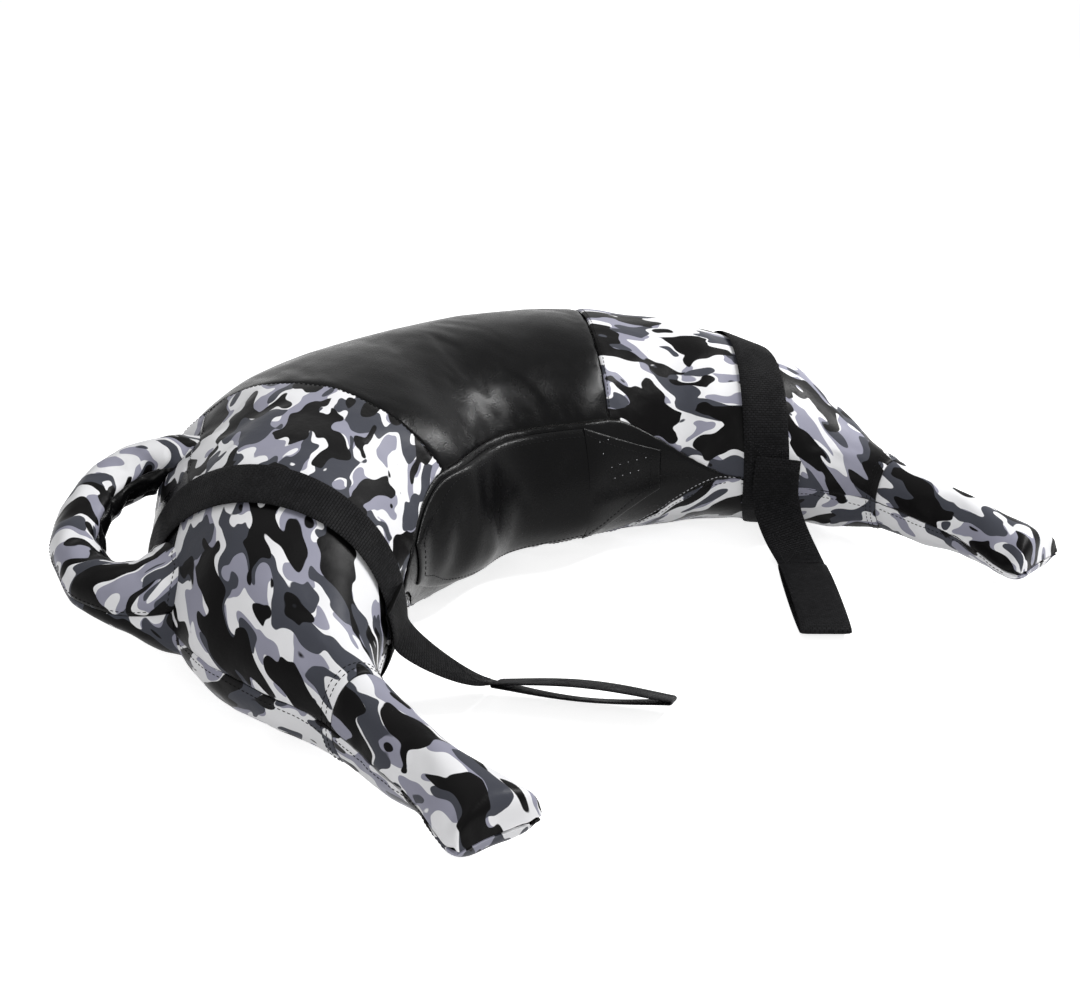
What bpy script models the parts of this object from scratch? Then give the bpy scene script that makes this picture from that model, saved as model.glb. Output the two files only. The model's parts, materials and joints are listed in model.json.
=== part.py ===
"""Bulgarian bag: a crescent training bag with end handles, loop handles and strap hand loops.

The bag lies on its base with its concave neck side towards -Y. A place on the skin is given by two
values: the arc, the distance from the crown along the spine (positive towards the right tip, +X),
and the angle round the section, which is 0 at the outer seam, 90 on top, 180 at the neck side and
270 underneath. All lengths are in metres and all angles in degrees.
"""
import math

import bmesh
import bpy
import numpy as np

# Spine of the crescent, seen from above
ARM_LENGTH = 0.446
HANDLE_LENGTH = 0.140
CROWN_RADIUS = 0.270
WRIST_RADIUS = 0.322

# Half width of the section from the crown to the tip
CROWN_HALF_WIDTH = 0.125
SHOULDER_HALF_WIDTH = 0.135
UPPER_ARM_HALF_WIDTH = 0.105
FOREARM_HALF_WIDTH = 0.077
WRIST_HALF_WIDTH = 0.0245
GRIP_HALF_WIDTH = 0.0225
TIP_HALF_WIDTH = 0.0315

# Height of the section from the crown to the tip
CROWN_HEIGHT = 0.190
SHOULDER_HEIGHT = 0.1895
UPPER_ARM_HEIGHT = 0.176
FOREARM_HEIGHT = 0.136
WRIST_HEIGHT = 0.063
GRIP_HEIGHT = 0.046
TIP_HEIGHT = 0.038
TIP_SEAM_ROOM = 0.003

# Height of the side seams above the base, and how far the base lifts off the ground
CROWN_SEAM = 0.055
UPPER_ARM_SEAM = 0.068
WRIST_SEAM = 0.031
TIP_SEAM = 0.011
FLAT_BASE_ARC = 0.190
FOREARM_LIFT = 0.0115
WRIST_LIFT = 0.0145
TIP_LIFT = 0.0145
TIP_ROUND = 0.013
TIP_SQUARE_SHARE = 0.7

# Knots of the profiles as shares of the arm and of the handle
ARM_KNOT_SHARES = (0.0, 0.25, 0.5, 0.75, 1.0)
GRIP_KNOT_SHARE = 0.5
ROOT_KNOT_SHARES = (0.0, 0.45, 0.72, 1.0)
ROOT_RISE_SHARES = (1.0, 0.98, 0.50, 0.0)
BASE_FLAT_SHARE = 0.62
BASE_ROUND_SHARE = 0.6

# Seams across the bag
CENTRE_SEAM_ARC = 0.157
SIDE_SEAM_ARC = 0.330
SKIN_THICKNESS = 0.002
SEAM_GAP = 0.0003

# Neck patch, its padded cover and its closure tab
PATCH_TOP_ANGLE = 148.0
PATCH_BASE_ANGLE = 203.0
COVER_LEFT_ARC = -0.252
FOLD_ARC = 0.112
TAB_LENGTH = 0.118
TAB_SLANT_ANGLE = 15.0
PATCH_EDGE_ANGLE = 4.0
FILLER_SLIT_LEFT = -0.090
FILLER_SLIT_RIGHT = 0.140
FILLER_SLIT_TOP_ANGLE = 171.0
FILLER_SLIT_BASE_ANGLE = 181.0
COVER_THICKNESS = 0.005
TAB_THICKNESS = 0.002
TAPE_THICKNESS = 0.0012
TAPE_EDGE = 0.014
TAPE_END = 0.016
LAYER_GAP = 0.0007

# Loop handles on the outer side
LOOP_ARC = 0.254
LOOP_REACH = 0.088
LOOP_HEIGHT = 0.109
LOOP_HALF_LENGTH = 0.0745
LOOP_HALF_BULGE = 0.0555
LOOP_TUBE_RADIUS = 0.0225
LOOP_TILT = 17.6
LOOP_TURN = 5.4
LOOP_BURIED_ANGLE = 38.0
LOOP_FACING_ANGLE = 132.0
LOOP_COVER_THICKNESS = 0.0015
LOOP_CORE_GAP = 0.0005
LOOP_ROOT_TOP_ANGLE = 48.0

# Webbing straps
WEBBING_WIDTH = 0.040
WEBBING_THICKNESS = 0.002
STRAP_GAP = 0.0010
BAND_OUTER_ARC = 0.266
BAND_INNER_ARC = 0.352
TAIL_SHIFT = 0.010
LEFT_TAIL_RUN = 0.067
RIGHT_TAIL_RUN = 0.047
LEFT_TAIL_SWING = -15.0
RIGHT_TAIL_SWING = 19.0
TAIL_DROP_SHARE = 0.55
TAIL_FLOOR_SHARE = 0.5
HINGE_GAP = 0.0008
LEFT_LOOP_SWING = 2.0
RIGHT_LOOP_SWING = -5.0
LEFT_LOOP_ROLL = 25.0
RIGHT_LOOP_ROLL = 0.0
HAND_LOOP_LENGTH = 0.127
HAND_LOOP_EYE = 0.009
TACK_HEIGHT = 0.016
TACK_THICKNESS = 0.0012

# Liner and filling
LINER_INSET = 0.0055
LINER_THICKNESS = 0.001
LINER_END_ARC = 0.430
FILLING_INSET = 0.0094
FILLING_GAP = 0.0008
GRIP_CORE_INSET = 0.0036
GRIP_CORE_TIP_GAP = 0.018

# Counts of facets
TOP_COLUMNS = 12
BASE_COLUMNS = 12
HANDLE_COLUMNS = 8
PATCH_COLUMNS = 6
ROOT_COLUMNS = 4
ENVELOPE_COLUMNS = 48
BAND_STEPS = 40
BAND_COLUMNS = 4
LOOP_COVER_COLUMNS = 4
LOOP_FACING_COLUMNS = 3
LOOP_STEPS = 12
FINE_STEPS = 400

# Colours
CAMO_WHITE = (0.62, 0.62, 0.66, 1.0)
LEATHER_BLACK = (0.012, 0.012, 0.013, 1.0)
WEBBING_BLACK = (0.010, 0.010, 0.011, 1.0)
TAPE_BLACK = (0.016, 0.016, 0.018, 1.0)
CANVAS_GREY = (0.30, 0.30, 0.29, 1.0)
SACK_SAND = (0.42, 0.33, 0.22, 1.0)
FOAM_GREY = (0.20, 0.20, 0.21, 1.0)


def unit(vector):
    return vector / np.linalg.norm(vector)


def clear_scene():
    for thing in list(bpy.data.objects):
        bpy.data.objects.remove(thing, do_unlink=True)


def material(name, colour, roughness):
    finish = bpy.data.materials.new(name)
    finish.use_nodes = True
    shader = finish.node_tree.nodes["Principled BSDF"]
    shader.inputs["Base Color"].default_value = colour
    shader.inputs["Roughness"].default_value = roughness
    shader.inputs["Metallic"].default_value = 0.0
    return finish


# The profile of the bag

def smooth_curve(knots, values):
    """Monotone cubic through the knots, so that a profile never overshoots its named sizes."""
    x = np.array(knots, float)
    y = np.array(values, float)
    rise = np.diff(y) / np.diff(x)
    slope = np.zeros(len(x))
    for i in range(1, len(x) - 1):
        if rise[i - 1] * rise[i] > 0:
            slope[i] = 2 * rise[i - 1] * rise[i] / (rise[i - 1] + rise[i])

    def read(at):
        at = min(max(at, x[0]), x[-1])
        i = int(min(np.searchsorted(x, at, side="right") - 1, len(x) - 2))
        step = x[i + 1] - x[i]
        t = (at - x[i]) / step
        return ((1 + 2 * t) * (1 - t) ** 2 * y[i] + t * (1 - t) ** 2 * step * slope[i]
                + t * t * (3 - 2 * t) * y[i + 1] + t * t * (t - 1) * step * slope[i + 1])

    return read


TIP_ARC = ARM_LENGTH + HANDLE_LENGTH
ARM_KNOTS = [share * ARM_LENGTH for share in ARM_KNOT_SHARES]
GRIP_KNOT = ARM_LENGTH + GRIP_KNOT_SHARE * HANDLE_LENGTH
ROUND_ARC = TIP_ARC - TIP_ROUND
BEND_ARC = TIP_ARC - TIP_ROUND / 4

half_width = smooth_curve(
    ARM_KNOTS + [GRIP_KNOT, ROUND_ARC, TIP_ARC],
    [CROWN_HALF_WIDTH, SHOULDER_HALF_WIDTH, UPPER_ARM_HALF_WIDTH, FOREARM_HALF_WIDTH,
     WRIST_HALF_WIDTH, GRIP_HALF_WIDTH, TIP_HALF_WIDTH, TIP_HALF_WIDTH])
# At the tip the top and the base close up to the end seam, each leaving room for its thickness
height = smooth_curve(
    ARM_KNOTS + [GRIP_KNOT, ROUND_ARC, BEND_ARC, TIP_ARC],
    [CROWN_HEIGHT, SHOULDER_HEIGHT, UPPER_ARM_HEIGHT, FOREARM_HEIGHT, WRIST_HEIGHT,
     GRIP_HEIGHT, TIP_HEIGHT, TIP_HEIGHT * 3 / 4, TIP_SEAM_ROOM * 3 / 2])
seam_height = smooth_curve(
    [ARM_KNOTS[0], ARM_KNOTS[2], ARM_KNOTS[4], ROUND_ARC, BEND_ARC, TIP_ARC],
    [CROWN_SEAM, UPPER_ARM_SEAM, WRIST_SEAM, TIP_SEAM, TIP_SEAM * 3 / 4, TIP_SEAM_ROOM / 2])
lift = smooth_curve(
    [ARM_KNOTS[0], FLAT_BASE_ARC, ARM_KNOTS[3], ARM_KNOTS[4], ROUND_ARC, BEND_ARC, TIP_ARC],
    [0.0, 0.0, FOREARM_LIFT, WRIST_LIFT, TIP_LIFT, TIP_LIFT + TIP_SEAM / 4,
     TIP_LIFT + TIP_SEAM - TIP_SEAM_ROOM / 2])


def heading(arc):
    """Turn of the spine from the crown, in radians: its curvature eases from crown to wrist."""
    bent = min(arc, ARM_LENGTH)
    return bent / CROWN_RADIUS + (1 / WRIST_RADIUS - 1 / CROWN_RADIUS) * bent * bent / (2 * ARM_LENGTH)


FINE_ARCS = np.linspace(0.0, TIP_ARC, FINE_STEPS + 1)
FINE_TURNS = np.array([heading(arc) for arc in FINE_ARCS])
FINE_PIECE = TIP_ARC / FINE_STEPS


def running_sum(values):
    return np.concatenate([[0.0], np.cumsum((values[1:] + values[:-1]) / 2) * FINE_PIECE])


SPINE_X = running_sum(np.cos(FINE_TURNS))
SPINE_DROP = running_sum(np.sin(FINE_TURNS))


def spine_frame(arc):
    """Point of the spine, its outward direction and its direction towards the nearer tip."""
    side = -1.0 if arc < 0 else 1.0
    turn = heading(abs(arc))
    x = side * np.interp(abs(arc), FINE_ARCS, SPINE_X)
    y = SPINE_Y - np.interp(abs(arc), FINE_ARCS, SPINE_DROP)
    outward = np.array([side * math.sin(turn), math.cos(turn), 0.0])
    along = np.array([side * math.cos(turn), -math.sin(turn), 0.0])
    return np.array([x, y, 0.0]), outward, along


# The crown stands where the whole bag is centred front to back
SPINE_Y = 0.0
BACK_REACH = CROWN_HALF_WIDTH
FRONT_REACH = SPINE_DROP[-1] + TIP_HALF_WIDTH * abs(math.cos(heading(TIP_ARC)))
SPINE_Y = (FRONT_REACH - BACK_REACH) / 2


def tip_share(arc):
    """How far an arc is into the rounded end of a handle, from 0 to 1."""
    return max(0.0, (abs(arc) - ROUND_ARC) / TIP_ROUND)


def section_point(arc, angle):
    """Distance from the spine and height, at an angle round the section."""
    turn = math.radians(angle)
    wide = half_width(abs(arc))
    seam = seam_height(abs(arc))
    base = lift(abs(arc))
    if math.sin(turn) >= 0:
        squareness = 1 - TIP_SQUARE_SHARE * tip_share(arc)
        rise = (height(abs(arc)) - seam) * math.sin(turn) ** squareness
        return wide * math.cos(turn), base + seam + rise
    # Below the seams the side rounds down to the flat of the base, which runs on to the middle
    flat = wide * BASE_FLAT_SHARE
    side = math.copysign(1.0, math.cos(turn))
    down = math.asin(min(1.0, -math.sin(turn))) / (math.pi / 2)
    if down >= BASE_ROUND_SHARE:
        return side * flat * (1 - down) / (1 - BASE_ROUND_SHARE), base
    bend = math.pi / 2 * down / BASE_ROUND_SHARE
    return side * (flat + (wide - flat) * math.cos(bend)), base + seam * (1 - math.sin(bend))


def section_place(arc, angle, out):
    """Skin point at one arc, moved outwards square to the section's outline.

    The rounded end of a handle is also moved outwards along the spine, and thins to its end seam.
    """
    out = out * (1 - tip_share(arc) / 2)
    step = 0.5
    before = np.array(section_point(arc, angle - step))
    after = np.array(section_point(arc, angle + step))
    run = after - before
    square = np.array([run[1], -run[0]]) / np.linalg.norm(run)
    across, up = np.array(section_point(arc, angle)) + square * out
    centre, outward, along = spine_frame(arc)
    return centre + along * out * tip_share(arc) + outward * across + np.array([0.0, 0.0, up])


def half_stations():
    centre = np.linspace(0.0, CENTRE_SEAM_ARC, 5)
    upper = np.linspace(CENTRE_SEAM_ARC, SIDE_SEAM_ARC, 6)
    lower = np.linspace(SIDE_SEAM_ARC, ARM_LENGTH, 4)
    grip = np.linspace(ARM_LENGTH, ROUND_ARC, 4)
    tip = np.array([BEND_ARC, TIP_ARC])
    return np.concatenate([centre, upper[1:], lower[1:], grip[1:], tip])


HALF_STATIONS = half_stations()
STATIONS = np.concatenate([-HALF_STATIONS[:0:-1], HALF_STATIONS])


def skin(arc, angle, out=0.0):
    """The skin runs straight between its stations, so pieces laid on it follow the same facets."""
    i = int(min(max(np.searchsorted(STATIONS, arc, side="right") - 1, 0), len(STATIONS) - 2))
    low, high = STATIONS[i], STATIONS[i + 1]
    t = (arc - low) / (high - low)
    return (1 - t) * section_place(low, angle, out) + t * section_place(high, angle, out)


def arcs_between(start, end):
    inner = [arc for arc in STATIONS if start + SEAM_GAP < arc < end - SEAM_GAP]
    return [start] + inner + [end]


def seam_angle(arc):
    """Half of the seam gap, as an angle round the section."""
    return math.degrees(SEAM_GAP / min(half_width(abs(arc)), height(abs(arc)) - seam_height(abs(arc))))


# Building closed pieces

def make_piece(name, points, faces, finish, pivot=None, smooth=True):
    mesh = bpy.data.meshes.new(name)
    origin = np.zeros(3) if pivot is None else np.array(pivot)
    mesh.from_pydata([tuple(np.array(point) - origin) for point in points], [], faces)
    work = bmesh.new()
    work.from_mesh(mesh)
    bmesh.ops.remove_doubles(work, verts=work.verts, dist=SEAM_GAP / 100)
    if work.calc_volume(signed=True) < 0:
        bmesh.ops.reverse_faces(work, faces=work.faces)
    work.to_mesh(mesh)
    work.free()
    if smooth:
        mesh.shade_smooth()
        mesh.set_sharp_from_angle(angle=math.radians(35.0))
    mesh.materials.append(finish)
    thing = bpy.data.objects.new(name, mesh)
    thing.location = origin
    bpy.context.scene.collection.objects.link(thing)
    return thing


def grid_faces(rows, columns, start=0, around=False, skip=()):
    """Quads of a grid of rows by columns, where around joins its last column to its first."""
    faces = []
    spans = columns if around else columns - 1
    for i in range(rows - 1):
        for j in range(spans):
            if (i, j) in skip:
                continue
            k = (j + 1) % columns
            faces.append((start + i * columns + j, start + (i + 1) * columns + j,
                          start + (i + 1) * columns + k, start + i * columns + k))
    return faces


def open_edges(faces):
    """Edges that only one face uses, in order round each opening."""
    used = {}
    for face in faces:
        for a, b in zip(face, face[1:] + face[:1]):
            used[(a, b)] = True
    return [(a, b) for a, b in used if (b, a) not in used]


def shell(name, outer_rows, inner_rows, finish, around=False, skip=(), pivot=None, capped=False):
    """A sheet with thickness: two like grids, walled in along every open edge."""
    rows, columns = len(outer_rows), len(outer_rows[0])
    count = rows * columns
    faces = grid_faces(rows, columns, 0, around, skip)
    if capped:
        faces.append(tuple(range(columns)))
        faces.append(tuple((rows - 1) * columns + j for j in reversed(range(columns))))
    points = [point for row in outer_rows for point in row]
    points += [point for row in inner_rows for point in row]
    inner = [tuple(count + a for a in face[:1] + face[:0:-1]) for face in faces]
    walls = [(b, a, count + a, count + b) for a, b in open_edges(faces)]
    return make_piece(name, points, faces + inner + walls, finish, pivot)


def solid_sleeve(name, rows, finish, pivot=None):
    """A closed solid through a row of rings."""
    columns = len(rows[0])
    faces = grid_faces(len(rows), columns, 0, True)
    faces.append(tuple(range(columns)))
    faces.append(tuple((len(rows) - 1) * columns + j for j in reversed(range(columns))))
    return make_piece(name, [point for row in rows for point in row], faces, finish, pivot)


def skin_sheet(name, arcs, low, high, columns, finish, out=0.0, thickness=SKIN_THICKNESS,
               skip=(), pivot=None):
    """A panel between two angles that may change along the arc."""
    outer, inner = [], []
    for arc in arcs:
        angles = np.linspace(low(arc), high(arc), columns + 1)
        outer.append([skin(arc, angle, out) for angle in angles])
        inner.append([skin(arc, angle, out - thickness) for angle in angles])
    return shell(name, outer, inner, finish, skip=skip, pivot=pivot)


# Seam lines on the skin

patch_share = smooth_curve([0.0, CENTRE_SEAM_ARC, SIDE_SEAM_ARC], [1.0, 0.94, 0.0])


def patch_top(arc):
    if abs(arc) >= SIDE_SEAM_ARC:
        return 180.0
    return 180.0 - (180.0 - PATCH_TOP_ANGLE) * patch_share(abs(arc))


def patch_base(arc):
    if abs(arc) >= SIDE_SEAM_ARC:
        return 180.0
    return 180.0 + (PATCH_BASE_ANGLE - 180.0) * patch_share(abs(arc))


root_share = smooth_curve(
    [CENTRE_SEAM_ARC + share * (SIDE_SEAM_ARC - CENTRE_SEAM_ARC) for share in ROOT_KNOT_SHARES],
    ROOT_RISE_SHARES)


def root_top(arc):
    """Upper seam of a loop handle's root panel."""
    return LOOP_ROOT_TOP_ANGLE * root_share(abs(arc))


def build_skin(camo, leather):
    """Outer panels, cut along the seams with half a seam gap on each side."""
    half_gap = SEAM_GAP / 2

    def above(line):
        return lambda arc: line(arc) + seam_angle(arc)

    def below(line):
        return lambda arc: max(line(arc) - seam_angle(arc), seam_angle(arc))

    def outer_seam(arc):
        return 0.0

    skin_sheet("centre_top_panel",
               arcs_between(-CENTRE_SEAM_ARC + half_gap, CENTRE_SEAM_ARC - half_gap),
               above(outer_seam), below(patch_top), TOP_COLUMNS, leather)
    skin_sheet("centre_base_panel",
               arcs_between(-SIDE_SEAM_ARC + half_gap, SIDE_SEAM_ARC - half_gap),
               above(patch_base), below(lambda arc: 360.0), BASE_COLUMNS, camo)
    slit = filler_slit_cells(neck_patch_arcs(), patch_top, patch_base, PATCH_COLUMNS)
    skin_sheet("neck_patch", neck_patch_arcs(), above(patch_top), below(patch_base),
               PATCH_COLUMNS, leather, skip=slit)
    for side, start in (("left", -1), ("right", 1)):
        def run(near, far, start=start):
            ends = sorted((start * (near + half_gap), start * (far - half_gap)))
            return arcs_between(*ends)
        skin_sheet(side + "_top_panel", run(CENTRE_SEAM_ARC, ARM_LENGTH),
                   above(root_top), below(patch_top), TOP_COLUMNS, camo)
        skin_sheet(side + "_loop_root_panel", run(CENTRE_SEAM_ARC, SIDE_SEAM_ARC),
                   above(outer_seam), below(root_top), ROOT_COLUMNS, camo)
        skin_sheet(side + "_arm_base_panel", run(SIDE_SEAM_ARC, ARM_LENGTH),
                   above(lambda arc: 180.0), below(lambda arc: 360.0), BASE_COLUMNS, camo)
        skin_sheet(side + "_handle_top", run(ARM_LENGTH, TIP_ARC),
                   above(outer_seam), below(lambda arc: 180.0), HANDLE_COLUMNS, camo)
        skin_sheet(side + "_handle_base", run(ARM_LENGTH, TIP_ARC),
                   above(lambda arc: 180.0), below(lambda arc: 360.0), HANDLE_COLUMNS, camo)


def neck_patch_arcs():
    return arcs_between(-SIDE_SEAM_ARC + SEAM_GAP / 2, SIDE_SEAM_ARC - SEAM_GAP / 2)


def filler_slit_cells(arcs, low, high, columns):
    """Cells of a panel's grid that the filler slit takes out."""
    cells = set()
    for i in range(len(arcs) - 1):
        middle = (arcs[i] + arcs[i + 1]) / 2
        edges = np.linspace(low(middle), high(middle), columns + 1)
        for j in range(columns):
            inside = FILLER_SLIT_TOP_ANGLE <= (edges[j] + edges[j + 1]) / 2 <= FILLER_SLIT_BASE_ANGLE
            if inside and FILLER_SLIT_LEFT < middle < FILLER_SLIT_RIGHT:
                cells.add((i, j))
    return cells


# Neck cover and its closure

def fold_pivot(top_angle, base_angle, out):
    """A straight fold line touches the bulging edge of the tab where it stands out furthest."""
    edge = [skin(FOLD_ARC, angle, out) for angle in np.linspace(top_angle, base_angle, PATCH_COLUMNS + 1)]
    chord = unit(edge[0] - edge[-1])
    inward = -spine_frame(FOLD_ARC)[1]
    away = unit(inward - chord * np.dot(inward, chord))
    return max(edge, key=lambda point: np.dot(point, away))


def build_closure(leather, tape):
    """A padded cover over the filler slit, a tab that folds at its end, and the tape that holds it."""
    def top_edge(arc):
        return patch_top(arc) + PATCH_EDGE_ANGLE

    def base_edge(arc):
        return patch_base(arc) - PATCH_EDGE_ANGLE

    tab_end = FOLD_ARC + TAB_LENGTH

    def tab_top(arc):
        share = (arc - FOLD_ARC) / TAB_LENGTH
        return top_edge(FOLD_ARC) + TAB_SLANT_ANGLE * share

    def tab_base(arc):
        share = (arc - FOLD_ARC) / TAB_LENGTH
        return base_edge(FOLD_ARC) - TAB_SLANT_ANGLE * share

    skin_sheet("filler_cover", arcs_between(COVER_LEFT_ARC, FOLD_ARC - SEAM_GAP),
               top_edge, base_edge, PATCH_COLUMNS, leather,
               out=LAYER_GAP + COVER_THICKNESS, thickness=COVER_THICKNESS)

    patch_tape_out = LAYER_GAP + TAPE_THICKNESS
    tab_tape_out = patch_tape_out + LAYER_GAP + TAPE_THICKNESS
    tab_out = tab_tape_out + LAYER_GAP + TAB_THICKNESS
    fold = fold_pivot(tab_top(FOLD_ARC), tab_base(FOLD_ARC), tab_out)

    edge_angle = math.degrees(TAPE_EDGE / half_width(FOLD_ARC))

    def tape_top(arc):
        return tab_top(arc) + edge_angle

    def tape_base(arc):
        return tab_base(arc) - edge_angle

    tape_arcs = arcs_between(FOLD_ARC + TAPE_END, tab_end - TAPE_END)
    skin_sheet("patch_tape", tape_arcs, tape_top, tape_base, PATCH_COLUMNS, tape,
               out=patch_tape_out, thickness=TAPE_THICKNESS)
    skin_sheet("tab_tape", tape_arcs, tape_top, tape_base, PATCH_COLUMNS, tape,
               out=tab_tape_out, thickness=TAPE_THICKNESS, pivot=fold)
    skin_sheet("closure_tab", arcs_between(FOLD_ARC + SEAM_GAP, tab_end), tab_top, tab_base,
               PATCH_COLUMNS, leather, out=tab_out, thickness=TAB_THICKNESS, pivot=fold)


# Loop handles

def loop_frame(side):
    """Centre of a loop handle's oval, its long, bulging and square directions."""
    centre, outward, along = spine_frame(side * LOOP_ARC)
    turn, tilt = math.radians(LOOP_TURN), math.radians(LOOP_TILT)
    bulge = outward * math.cos(turn) - along * math.sin(turn)
    level = along * math.cos(turn) + outward * math.sin(turn)
    up = np.array([0.0, 0.0, 1.0])
    lengthways = level * math.cos(tilt) - up * math.sin(tilt)
    square = level * math.sin(tilt) + up * math.cos(tilt)
    return centre + outward * LOOP_REACH + up * LOOP_HEIGHT, lengthways, bulge, square


def loop_ring(side, turn, angles, radius):
    """Points round the tube at one place of the oval: angle 0 faces out, 180 faces the hole."""
    centre, lengthways, bulge, square = loop_frame(side)
    t = math.radians(turn)
    place = (centre + lengthways * LOOP_HALF_LENGTH * math.cos(t)
             + bulge * LOOP_HALF_BULGE * math.sin(t))
    out = (lengthways * math.cos(t) / LOOP_HALF_LENGTH
           + bulge * math.sin(t) / LOOP_HALF_BULGE)
    out = out / np.linalg.norm(out)
    ring = []
    for angle in angles:
        a = math.radians(angle)
        ring.append(place + radius * (out * math.cos(a) + square * math.sin(a)))
    return ring


def loop_turns():
    return np.linspace(-LOOP_BURIED_ANGLE, 180.0 + LOOP_BURIED_ANGLE, LOOP_STEPS + 1)


def loop_shell(name, side, start, end, columns, finish):
    gap = math.degrees(SEAM_GAP / (2 * LOOP_TUBE_RADIUS))
    angles = np.linspace(start + gap, end - gap, columns + 1)
    inner_radius = LOOP_TUBE_RADIUS - LOOP_COVER_THICKNESS
    outer = [loop_ring(side, turn, angles, LOOP_TUBE_RADIUS) for turn in loop_turns()]
    inner = [loop_ring(side, turn, angles, inner_radius) for turn in loop_turns()]
    return shell(name, outer, inner, finish)


def trim_to_body(thing, envelope):
    cut = thing.modifiers.new("trim", "BOOLEAN")
    cut.operation = "DIFFERENCE"
    cut.object = envelope


def build_loop_handle(side_name, side, camo, leather, foam):
    """A stuffed tube bent into a loop, with both of its ends trimmed against the bag."""
    span = sorted((side * CENTRE_SEAM_ARC * 0.75, side * ARM_LENGTH * 0.95))
    angles = np.linspace(0.0, 360.0, ENVELOPE_COLUMNS, endpoint=False)
    rows = [[skin(arc, angle, SEAM_GAP) for angle in angles] for arc in arcs_between(*span)]
    envelope = solid_sleeve(side_name + "_loop_trimmer", rows, camo)
    envelope.hide_render = True
    envelope.display_type = "WIRE"
    facing_end = 360.0 - LOOP_FACING_ANGLE
    core_radius = LOOP_TUBE_RADIUS - LOOP_COVER_THICKNESS - LOOP_CORE_GAP
    core_angles = np.concatenate([
        np.linspace(0.0, LOOP_FACING_ANGLE, LOOP_COVER_COLUMNS, endpoint=False),
        np.linspace(LOOP_FACING_ANGLE, facing_end, LOOP_FACING_COLUMNS, endpoint=False),
        np.linspace(facing_end, 360.0, LOOP_COVER_COLUMNS, endpoint=False)])
    pieces = [
        loop_shell(side_name + "_loop_cover_top", side, 0.0, LOOP_FACING_ANGLE,
                   LOOP_COVER_COLUMNS, camo),
        loop_shell(side_name + "_loop_facing", side, LOOP_FACING_ANGLE, facing_end,
                   LOOP_FACING_COLUMNS, leather),
        loop_shell(side_name + "_loop_cover_base", side, facing_end, 360.0,
                   LOOP_COVER_COLUMNS, camo),
        solid_sleeve(side_name + "_loop_core",
                     [loop_ring(side, turn, core_angles, core_radius) for turn in loop_turns()],
                     foam),
    ]
    for piece in pieces:
        trim_to_body(piece, envelope)


# Straps

def band_arc(angle):
    """The band slants: nearer the crown at the loop handle, nearer the wrist on the neck side."""
    share = (1 - math.cos(math.radians(angle))) / 2
    return BAND_OUTER_ARC + (BAND_INNER_ARC - BAND_OUTER_ARC) * share


def band_half_arc(middle, angle):
    """Half the webbing's width, as a length along the spine: the skin is longer outside a bend than inside."""
    half = WEBBING_WIDTH / 2
    spread = np.linalg.norm(skin(middle + half, angle) - skin(middle - half, angle))
    return half * WEBBING_WIDTH / spread


def build_band(name, side, webbing):
    """Webbing ring round the arm, through the loop handle."""
    low_out = STRAP_GAP
    high_out = STRAP_GAP + WEBBING_THICKNESS
    rows = []
    for angle in np.linspace(0.0, 360.0, BAND_STEPS, endpoint=False):
        middle = side * band_arc(angle)
        half = side * band_half_arc(middle, angle)
        arcs = np.linspace(middle - half, middle + half, BAND_COLUMNS + 1)
        ring = [skin(arc, angle, high_out) for arc in arcs]
        ring += [skin(arc, angle, low_out) for arc in arcs[::-1]]
        rows.append(ring)
    points = [point for row in rows for point in row]
    columns = len(rows[0])
    faces = []
    for i in range(len(rows)):
        k = (i + 1) % len(rows)
        for j in range(columns):
            m = (j + 1) % columns
            faces.append((i * columns + j, k * columns + j, k * columns + m, i * columns + m))
    return make_piece(name, points, faces, webbing)


def tail_frame(side):
    """Where a strap tail hinges on the band, its foot over the ground and its directions.

    These are the hand loop's own direction, the width at the hinge and the width at the foot. The left
    hand loop rolls onto the edge that is away from the tip, and the right one lies flat.
    """
    out = STRAP_GAP + 2 * WEBBING_THICKNESS + LAYER_GAP
    half = side * WEBBING_WIDTH / 2
    middle = side * BAND_INNER_ARC
    along = unit(skin(middle + half, 180.0) - skin(middle - half, 180.0))
    top = skin(middle, 180.0, out) + along * TAIL_SHIFT
    inward = unit(np.array([-side * abs(along[1]), -abs(along[0]), 0.0]))
    level = unit(np.array([along[0], along[1], 0.0]))
    tail_run = LEFT_TAIL_RUN if side < 0 else RIGHT_TAIL_RUN
    tail_swing = math.radians(LEFT_TAIL_SWING if side < 0 else RIGHT_TAIL_SWING)
    swing = math.radians(LEFT_LOOP_SWING if side < 0 else RIGHT_LOOP_SWING)
    roll = math.radians(LEFT_LOOP_ROLL if side < 0 else RIGHT_LOOP_ROLL)
    ahead = inward * math.cos(swing) + level * math.sin(swing)
    flat_across = level * math.cos(swing) - inward * math.sin(swing)
    across = flat_across * math.cos(roll) + np.array([0.0, 0.0, math.sin(roll)])
    foot = top + (inward * math.cos(tail_swing) + level * math.sin(tail_swing)) * tail_run
    foot[2] = SEAM_GAP + HAND_LOOP_EYE / 2 + WEBBING_THICKNESS + abs(across[2]) * WEBBING_WIDTH / 2
    return top, foot, ahead, along, across


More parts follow.
